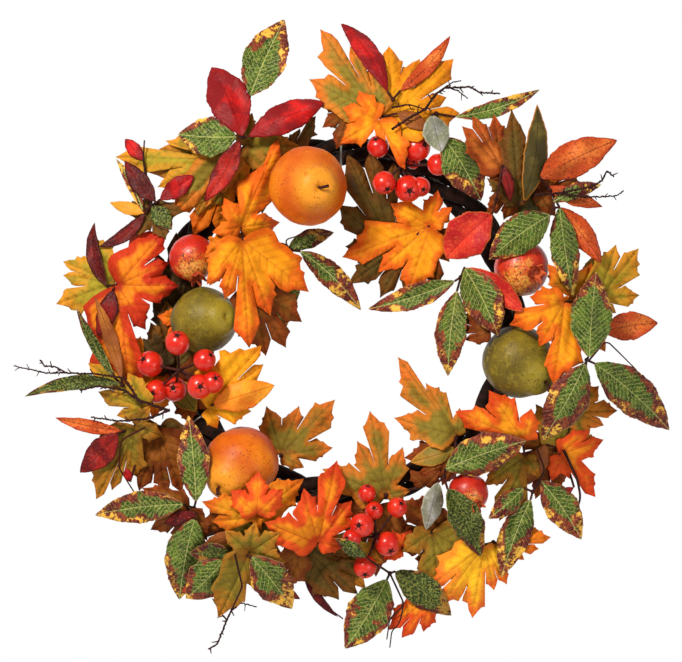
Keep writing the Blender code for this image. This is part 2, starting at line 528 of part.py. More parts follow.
for old in list(bpy.data.objects):
    bpy.data.objects.remove(old)
shown = bpy.data.collections.new("harvest_wreath")
tools = bpy.data.collections.new("cutters")
tools.hide_render = True
for group in (shown, tools):
    bpy.context.scene.collection.children.link(group)
made = {}
for key, colour in MATERIALS.items():
    material = bpy.data.materials.new(key)
    material.use_nodes = True
    shader = material.node_tree.nodes["Principled BSDF"]
    shader.inputs["Base Color"].default_value = (*colour, 1.0)
    shader.inputs["Roughness"].default_value = 0.35 if key in ("berry", "wire") else 0.6
    made[key] = material


def add(name, mesh, material, hidden=False):
    obj = bpy.data.objects.new(name, mesh)
    (tools if hidden else shown).objects.link(obj)
    if hidden:
        obj.hide_render = True
        obj.display_type = "WIRE"
    if not mesh.materials:
        mesh.materials.append(made[material])
    return obj


def wire(name, points, radius, material, cyclic=False, sides=1, hidden=False):
    """A round wire along the points, as a bevelled curve."""
    curve = bpy.data.curves.new(name, "CURVE")
    curve.dimensions = "3D"
    curve.bevel_depth = radius
    curve.bevel_resolution = sides
    curve.use_fill_caps = not cyclic
    curve.resolution_u = 1
    curve.render_resolution_u = 0
    spline = curve.splines.new("POLY")
    spline.points.add(len(points) - 1)
    for point, at in zip(spline.points, points):
        point.co = (at[0], at[1], at[2], 1.0)
    spline.use_cyclic_u = cyclic
    return add(name, curve, material, hidden)


def as_mesh(obj, name, material, hidden):
    """The welded mesh of a curve, for a Boolean."""
    bpy.context.view_layer.update()
    graph = bpy.context.evaluated_depsgraph_get()
    mesh = bpy.data.meshes.new_from_object(obj.evaluated_get(graph))
    work = bmesh.new()
    work.from_mesh(mesh)
    bmesh.ops.remove_doubles(work, verts=work.verts, dist=1e-6)
    bmesh.ops.recalc_face_normals(work, faces=work.faces)
    work.to_mesh(mesh)
    work.free()
    bpy.data.objects.remove(obj)
    return add(name, mesh, material, hidden)


def tube_mesh(name, points, radius, material, hidden=True, sides=0):
    return as_mesh(wire(name + "_curve", points, radius, material, sides=sides), name, material, hidden)


def unite(body, others):
    for k, other in enumerate(others):
        modifier = body.modifiers.new(f"join_{k}", "BOOLEAN")
        modifier.operation = "UNION"
        modifier.solver = "EXACT"
        modifier.object = other


def world(path):
    """x, depth, z to metres in the scene."""
    path = np.asarray(path, float)
    return np.stack([path[:, 0], -path[:, 1], path[:, 2]], axis=1)


def lathe(name, profile, steps, material, matrix, hidden=False):
    """A turned body: radius and height pairs from one end of the axis to the other."""
    mesh = bpy.data.meshes.new(name)
    mesh.from_pydata([(r, 0.0, h) for r, h in profile], [(k, k + 1) for k in range(len(profile) - 1)], [])
    obj = add(name, mesh, material, hidden)
    screw = obj.modifiers.new("turn", "SCREW")
    screw.axis = "Z"
    screw.angle = math.tau
    screw.steps = screw.render_steps = steps
    screw.use_merge_vertices = True
    screw.merge_threshold = 0.00001
    screw.use_normal_calculate = True
    obj.matrix_world = matrix
    return obj


def aim(direction):
    """Rotation that turns +Z to right, forward, up given in that order."""
    way = Vector((direction[0], -direction[1], direction[2])).normalized()
    return way.to_track_quat("Z", "Y").to_matrix().to_4x4()


def turned_points(profile, steps, rotation):
    ring = []
    for r, h in profile:
        for k in range(steps):
            a = math.tau * k / steps
            v = rotation @ Vector((r * math.cos(a), r * math.sin(a), h))
            ring.append((v.x, -v.y, v.z))
    return np.array(ring)


def put_turned(profile, rotation, centre, grow=0.0):
    """Adds the front of a turned body to the field."""
    fine = []
    for (r0, h0), (r1, h1) in zip(profile[:-1], profile[1:]):
        n = max(1, int(math.ceil(math.hypot(r1 - r0, h1 - h0) / 0.001)))
        fine += [(r0 + (r1 - r0) * k / n, h0 + (h1 - h0) * k / n) for k in range(n + 1)]
    for r, h in fine:
        count = max(8, int(math.ceil(math.tau * max(r, 0.001) / 0.001)))
        a = np.arange(count) * math.tau / count
        local = np.stack([r * np.cos(a), r * np.sin(a), np.full(count, h)])
        v = np.array(rotation.to_3x3()) @ local
        put(np.stack([v[0] + centre[0], v[2] + centre[2]], axis=1), -v[1] + centre[1] + grow)


# ---------------------------------------------------------------- vine ring, its wires and the hanger
def ring_point(angle, out, forward):
    radius = RING_R + out
    return (radius * math.cos(angle), RING_D + forward, radius * math.sin(angle))


count = 56
for strand in range(3):
    path = []
    for k in range(count):
        angle = math.tau * k / count
        turn = STRAND_TWISTS * angle + math.tau * strand / 3
        path.append(ring_point(angle, STRAND_ORBIT * math.cos(turn), STRAND_ORBIT * math.sin(turn)))
    wire(f"vine_strand_{strand + 1}", world(path), STRAND_R, "vine", cyclic=True, sides=1)
    put_tube(np.array(path + path[:1]), STRAND_R)
wire("frame_wire", world([ring_point(math.tau * k / 42, 0, 0) for k in range(42)]), FRAME_WIRE_R, "wire", cyclic=True, sides=0)


def tie(name, angle, radius, wire_r, up=0.0, count=12):
    """A wire closed round the vine bundle, square to it."""
    path = []
    for k in range(count):
        a = math.tau * k / count
        path.append(ring_point(angle, radius * math.cos(a) + up, radius * math.sin(a)))
    wire(name, world(path), wire_r, "wire", cyclic=True, sides=0)
    put_tube(np.array(path + path[:1]), wire_r)


tie("tie_wire_lower_left", math.radians(214), TIE_RING, TIE_R)
tie("tie_wire_lower_right", math.radians(322), TIE_RING, TIE_R)
tie("hanging_eye", math.radians(90), EYE_RING, EYE_R, up=EYE_UP)

# The loop's straight lower side is its pin: it turns inside the top of the eye.
pin_z = RING_R + EYE_UP + EYE_RING - EYE_R - 0.0005 - LOOP_R
loop = []
half = LOOP_W / 2
for x, z in ((-half, 0.003), (-half + 0.003, 0), (half - 0.003, 0), (half, 0.003), (half, LOOP_H - half)):
    loop.append((x, RING_D, pin_z + z))
for k in range(1, 8):
    a = math.pi * k / 8
    loop.append((half * math.cos(a), RING_D, pin_z + LOOP_H - half + half * math.sin(a)))
loop.append((-half, RING_D, pin_z + LOOP_H - half))
wire("hanging_loop", world(loop), LOOP_R, "wire", cyclic=True, sides=0)
put_tube(np.array(loop + loop[:1]), LOOP_R)

# ---------------------------------------------------------------- turned shapes
PEAR = [(0.0, -0.90), (0.46, -0.90), (0.86, -0.56), (1.0, -0.04), (0.92, 0.36), (0.62, 0.78), (0.40, 1.06), (0.20, 1.16),
        (0.0, 1.12)]
POMEGRANATE = [(0.0, -0.93), (0.52, -0.82), (0.94, -0.32), (0.98, 0.20), (0.68, 0.72), (0.27, 0.95), (0.34, 1.16), (0.26, 1.17),
               (0.0, 0.97)]
BERRY = [(0.0, -1.0), (0.72, -0.68), (1.0, 0.0), (0.66, 0.76), (0.24, 0.97), (0.0, 0.86)]


def scaled(profile, size):
    return [(r * size, h * size) for r, h in profile]


def fruit(name):
    kind, centre, radius, look = FRUIT[name]
    size = radius * U
    profile = scaled(PEAR if kind == "pear" else POMEGRANATE, size)
    rotation = aim(look)
    way = Vector((look[0], look[1], look[2])).normalized()
    shift = -0.10 * size if kind == "pear" else 0.0
    x, z = pat(centre)
    centre_xz = np.array([x + way.x * shift, z + way.z * shift])
    points = turned_points(profile, 40, rotation)
    points[:, 0] += centre_xz[0]
    points[:, 2] += centre_xz[1]
    depth = max(0.046, size * 1.02, rest_depth(points, spread(FIELD)))
    at = (centre_xz[0], depth, centre_xz[1])
    matrix = Matrix.Translation((at[0], -at[1], at[2])) @ rotation
    material = "pomegranate" if kind != "pear" else ("pear_green" if name in ("pear_right", "pear_inner_left") else "pear_orange")
    lathe(name, profile, 13 if kind == "pear" else 11, material, matrix)
    put_turned(profile, rotation, at)
    if name in STEMMED:
        length, lean = STEMMED[name]
        start = np.array(at) + np.array([way.x, way.y, way.z]) * (1.12 * size + 0.0016)
        lean = np.array(lean) / np.linalg.norm(lean)
        first = start + np.array([way.x, way.y, way.z]) * length * 0.35
        path = np.array([start, first, first + lean * length * 0.65])
        wire(name + "_stem", world(path), 0.0014, "stem", sides=1)
        put_tube(path, 0.0014)
    print(name, "depth", round(depth * 1000, 1))


def berries(name):
    hub, rows = BERRIES[name]
    before = spread(FIELD)
    hub_xz = pat(hub)
    parts, centres = [], []
    for k, (centre, radius, look) in enumerate(rows):
        size = radius * U
        profile = scaled(BERRY, size)
        rotation = aim(look)
        points = turned_points(profile, 16, rotation)
        x, z = pat(centre)
        points[:, 0] += x
        points[:, 2] += z
        depth = max(0.058 + 0.006 * (k % 3), rest_depth(points, before))
        centres.append((x, depth, z, size))
        matrix = Matrix.Translation((x, -depth, z)) @ rotation
        parts.append(lathe(f"{name}_berry_{k}", profile, 8, "berry", matrix, hidden=True))
    middle = np.mean([c[1] for c in centres])
    ends = []
    for k, (x, depth, z, size) in enumerate(centres):
        to = (341 + x / U, 322 - z / U)
        path = stem_path([hub, to], 0.0011, lambda p, d=depth: np.linspace(middle - 0.004, d, len(p)), before)
        keep = [0] + list(range(2, len(path) - 2, 4)) + [len(path) - 1]
        path = path[keep]
        path[-1, 1] = max(path[-1, 1], depth - size * 0.5) if path[-1, 1] < depth else min(path[-1, 1], depth + size * 0.4)
        ends.append(path)
    top = np.mean([p[0, 1] for p in ends])
    low, high = min(p[0, 1] for p in ends), max(p[0, 1] for p in ends)
    body = tube_mesh(name, [(hub_xz[0], -(low - 0.0012), hub_xz[1]), (hub_xz[0], -(high + 0.0016), hub_xz[1])], 0.0026, "berry", hidden=False, sides=2)
    for k, path in enumerate(ends):
        parts.append(tube_mesh(f"{name}_stem_{k}", world(path), 0.0011, "berry"))
        put_tube(path, 0.0011)
    unite(body, parts)
    for k, (x, depth, z, size) in enumerate(centres):
        put_turned(scaled(BERRY, size), aim(rows[k][2]), (x, depth, z))
    put_tube(np.array([(hub_xz[0], low, hub_xz[1]), (hub_xz[0], high + 0.0016, hub_xz[1])]), 0.0026)
    print(name, "depth", round(middle * 1000, 1))


def leaf_outline(row):
    """Outline of the blade, and the points of its middle rib."""
    kind, base, tips, width, bend = row[:5]
    base = pat(base)
    if kind == "B":
        tip, half_w = pat(tips), width * U / 2
        if width < 16:
            return blade_outline(base, tip, bend, (0.30, 0.72), (0.9 * half_w, 0.8 * half_w)), []
        line, _ = axis_points(base, tip, bend, 101)
        return blade_outline(base, tip, bend, (0.20, 0.50, 0.80), (0.80 * half_w, half_w, 0.62 * half_w)), line[[0, 50, 100]]
    # Lobes sorted round the base, from the side away from the leaf's own direction.
    ways = [pat(t) - base for t in tips]
    lead = np.sum([w / np.linalg.norm(w) for w in ways], axis=0)
    turn = math.atan2(lead[1], lead[0])
    ways.sort(key=lambda w: (math.atan2(w[1], w[0]) - turn + math.pi) % math.tau)
    angles = [(math.atan2(w[1], w[0]) - turn + math.pi) % math.tau for w in ways]
    out = [base]
    for i, way in enumerate(ways):
        length = np.linalg.norm(way)
        along = way / length
        side = np.array([-along[1], along[0]])
        if i > 0:
            before = np.linalg.norm(ways[i - 1])
            middle = along + ways[i - 1] / before
            size = np.linalg.norm(middle)
            if size > 0.3:
                out.append(base + middle / size * 0.58 * min(length, before) * max(0.45, size / 2))
        flanks = []
        for j, sign in ((i - 1, -1), (i + 1, 1)):
            wide = 0.23 * width
            if 0 <= j < len(ways):
                wide = min(wide, 0.60 * math.tan(min(1.2, abs(angles[j] - angles[i]) / 2)) * 0.90)
            flanks.append(base + (along * 0.60 + side * sign * wide) * length)
        if length > 38 * U:
            out += [flanks[0], base + way, flanks[1]]
        else:
            out += [base + way]
    for way, sign in ((ways[0], -1), (ways[-1], 1)):
        along = way / np.linalg.norm(way)
        side = np.array([-along[1], along[0]]) * sign
        point = base + (along * 0.16 + side * 0.24 * width) * np.linalg.norm(way)
        if sign < 0:
            out.insert(1, point)
        else:
            out.append(point)
    return np.array(out), []


def leaf_sheet(row, hub):
    outline, rib = leaf_outline(row)
    outlines, ribs = [outline], [rib] if len(rib) else []
    base = pat(row[1])
    tips = [pat(t) for t in row[2]] if row[0] == "M" else [pat(row[2])]
    run = base - hub
    if np.linalg.norm(run) < 0.003:
        run = np.mean(tips, axis=0) - hub
    run = run / np.linalg.norm(run)
    side = np.array([-run[1], run[0]]) * PETIOLE
    start = hub - run * 0.0022
    aim_at = np.mean([base + (t - base) * 0.16 for t in tips], axis=0)
    bar = [start - side, aim_at - side * 1.2, aim_at + side * 1.2, start + side]
    outlines.append(np.array(bar))
    xz, tris = triangulate(outlines, [], ribs)
    return tidy(xz, tris)


def leaf_solid(name, xz, tris, depth, material):
    """The sheet, drawn back by its thickness into one closed slab."""
    work = bmesh.new()
    front = [work.verts.new((x, -d, z)) for (x, z), d in zip(xz, depth)]
    faces = [work.faces.new([front[i] for i in tri]) for tri in tris]
    grown = bmesh.ops.extrude_face_region(work, geom=faces)
    for item in grown["geom"]:
        if isinstance(item, bmesh.types.BMVert):
            item.co.y += LEAF_T
    bmesh.ops.recalc_face_normals(work, faces=work.faces)
    odd = [e for e in work.edges if len(e.link_faces) != 2]
    if odd:
        print("ODD", name, len(odd))
    mesh = bpy.data.meshes.new(name)
    work.to_mesh(mesh)
    work.free()
    return add(name, mesh, material, hidden=True)


def pick(name, hub_at, share, rows):
    material = "maple" if name.startswith("maple") else "red_leaf" if name.startswith("red") else "laurel"
    hub = pat(hub_at)
    before = spread(FIELD)
    parts, at_hub = [], []
    for k, row in enumerate(rows):
        label = f"{name}_blade_{k}"
        if row[0] == "T":
            radius = row[2] / 1000
            path = stem_path(row[1], radius, lambda p: envelope(p, share) + 0.002, spread(FIELD) if k else before)
            start = stem_path(row[1], radius, lambda p: envelope(p, share) + 0.002, before)
            near = np.hypot(path[:, 0] - hub[0], path[:, 2] - hub[1]) < 0.0075
            path[near, 1] = np.minimum(path[near, 1], start[near, 1] + 0.004)
            keep = [0] + list(range(2, len(path) - 2, 4)) + [len(path) - 1]
            path[keep[0], 1] = max(path[0, 1], path[1, 1] - 0.004)
            rough = path[keep]
            need = np.interp(np.arange(len(path)), keep, rough[:, 1])
            lift = max(0.0, float((path[:, 1] - need).max()))
            rough[:, 1] += lift
            at_hub.append(rough[0, 1])
            parts.append(tube_mesh(label, world(rough), radius, "stem"))
            put_tube(rough, radius)
            continue
        xz, tris = leaf_sheet(row, hub)
        base = pat(row[1])
        tips = [pat(t) for t in row[2]] if row[0] == "M" else [pat(row[2])]
        reach = np.linalg.norm(np.mean(tips, axis=0) - base)
        far = np.clip(np.linalg.norm(xz - base, axis=1) / max(reach, 1e-4), 0, 1.3)
        natural = envelope(xz, share) + 0.0005 * k + 0.10 * reach * np.sin(np.pi * np.clip(far, 0, 1)) - 0.05 * reach * far ** 2
        depth, at, front = drape(xz, tris, natural, LEAF_T, spread(FIELD), before, hub)
        put(at, front)
        close = np.hypot(*(at - hub).T) < 0.0016
        at_hub.append(float(front[close].mean()) if close.any() else float(depth[np.argmin(np.linalg.norm(xz - hub, axis=1))]))
        parts.append(leaf_solid(label, xz, tris, depth, material))
    low, high = min(at_hub) - LEAF_T * 0.5, max(at_hub) + 0.0012
    body = tube_mesh(name, [(hub[0], -low, hub[1]), (hub[0], -high, hub[1])], STUB_R, material, hidden=False, sides=0)
    unite(body, parts)
    put_tube(np.array([(hub[0], low, hub[1]), (hub[0], high, hub[1])]), STUB_R, -STUB_R + 0.0002)
    print(name, "hub", round(low * 1000, 1), round(high * 1000, 1))


def twig(name):
    before = spread(FIELD)
    laid = []
    for k, (points, radius) in enumerate(TWIGS[name]):
        radius /= 1000
        path = stem_path(points, radius, lambda p: envelope(p, 0.8), before)
        for other, _ in laid:
            for end in (0, len(path) - 1):
                gap_to = np.hypot(other[:, 0] - path[end, 0], other[:, 2] - path[end, 2])
                if gap_to.min() < 0.0025:
                    goal = other[gap_to.argmin(), 1]
                    run = np.abs(np.arange(len(path)) - end) * 0.004
                    path[:, 1] = np.maximum(path[:, 1], goal - 0.8 * run)
                    path[end] = other[gap_to.argmin()]
        keep = [0] + list(range(2, len(path) - 2, 3)) + [len(path) - 1]
        rough = path[keep]
        lift = max(0.0, float((path[:, 1] - np.interp(np.arange(len(path)), keep, rough[:, 1])).max()))
        rough[1:-1, 1] += lift
        fine = []
        for p, q in zip(rough[:-1], rough[1:]):
            n = max(1, int(np.linalg.norm(q - p) / 0.0005))
            fine += [p + (q - p) * j / n for j in range(n)]
        laid.append((np.array(fine + [rough[-1]]), radius))
        solid = tube_mesh(name if k == 0 else f"{name}_branch_{k}", world(rough), radius, "stem", hidden=k > 0)
        if k == 0:
            body, parts = solid, []
        else:
            parts.append(solid)
        put_tube(rough, radius)
    unite(body, parts)


for entry in PICKS:
    if entry[0] == "BERRIES":
        berries(entry[1])
    elif entry[0] == "FRUIT":
        fruit(entry[1])
    elif entry[0] == "TWIG":
        twig(entry[1])
    else:
        pick(*entry)

# The row's origin is where the door hook carries the hanging loop: inside the top of the loop.
shift = Matrix.Translation((0.0, RING_D, -(pin_z + LOOP_H - LOOP_R)))
for obj in list(shown.objects) + list(tools.objects):
    obj.matrix_world = shift @ obj.matrix_world
print("pin z", pin_z - (pin_z + LOOP_H - LOOP_R), "ring centre z", -(pin_z + LOOP_H - LOOP_R))
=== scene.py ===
"""Visual model of the harvest door wreath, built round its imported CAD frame.
Every leaf is a thin cupped sheet with its own ribs, laid over what lies under it, like the CAD picks."""

import math

import bmesh
import bpy
import numpy as np
from mathutils import Matrix, Vector, geometry, noise

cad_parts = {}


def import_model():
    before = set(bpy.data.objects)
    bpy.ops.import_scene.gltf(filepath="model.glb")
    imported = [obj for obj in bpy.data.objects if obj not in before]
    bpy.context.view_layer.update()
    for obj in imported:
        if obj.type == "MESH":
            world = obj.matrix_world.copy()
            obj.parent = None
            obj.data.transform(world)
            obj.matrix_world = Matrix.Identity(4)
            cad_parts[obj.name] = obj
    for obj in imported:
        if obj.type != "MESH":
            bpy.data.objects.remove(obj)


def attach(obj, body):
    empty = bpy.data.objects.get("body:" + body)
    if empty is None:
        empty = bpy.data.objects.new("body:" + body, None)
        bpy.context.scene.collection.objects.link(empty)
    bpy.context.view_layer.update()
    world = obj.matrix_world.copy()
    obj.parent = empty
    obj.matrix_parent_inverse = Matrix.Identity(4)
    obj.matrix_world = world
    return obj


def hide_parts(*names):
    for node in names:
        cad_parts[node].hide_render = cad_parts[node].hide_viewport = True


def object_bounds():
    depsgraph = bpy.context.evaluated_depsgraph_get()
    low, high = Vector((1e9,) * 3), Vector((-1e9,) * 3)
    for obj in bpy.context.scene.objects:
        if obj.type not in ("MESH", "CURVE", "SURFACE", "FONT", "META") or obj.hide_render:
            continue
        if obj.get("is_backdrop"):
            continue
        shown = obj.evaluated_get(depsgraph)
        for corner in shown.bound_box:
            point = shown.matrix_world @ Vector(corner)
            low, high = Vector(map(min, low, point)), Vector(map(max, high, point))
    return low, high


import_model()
size_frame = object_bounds()

# ---------------------------------------------------------------- driving dimensions
# The design is drawn on a pattern grid counted from its upper left corner, like a paper pattern.
U = 0.00092                  # one pattern unit, m
PAT_X, PAT_Z = 341.0, 322.0  # ring centre on the pattern grid
RING_R = 0.158               # centre line of the vine ring
RING_D = 0.0215              # depth of that centre line in front of the door
STRAND_R = 0.0065            # one vine strand
STRAND_ORBIT = 0.0085        # distance of a strand from the centre line
STRAND_TWISTS = 7
FRAME_WIRE_R = 0.0013
TIE_R = 0.0009               # tie wires
TIE_RING = 0.0166            # radius of a tie wire round the bundle
EYE_R = 0.0010               # wire of the hanging eye
EYE_RING = 0.0205
EYE_UP = 0.0040
LOOP_R = 0.0011              # wire of the swinging hanging loop
LOOP_W, LOOP_H = 0.0150, 0.0340
GAP = 0.0006                 # least clearance between neighbours

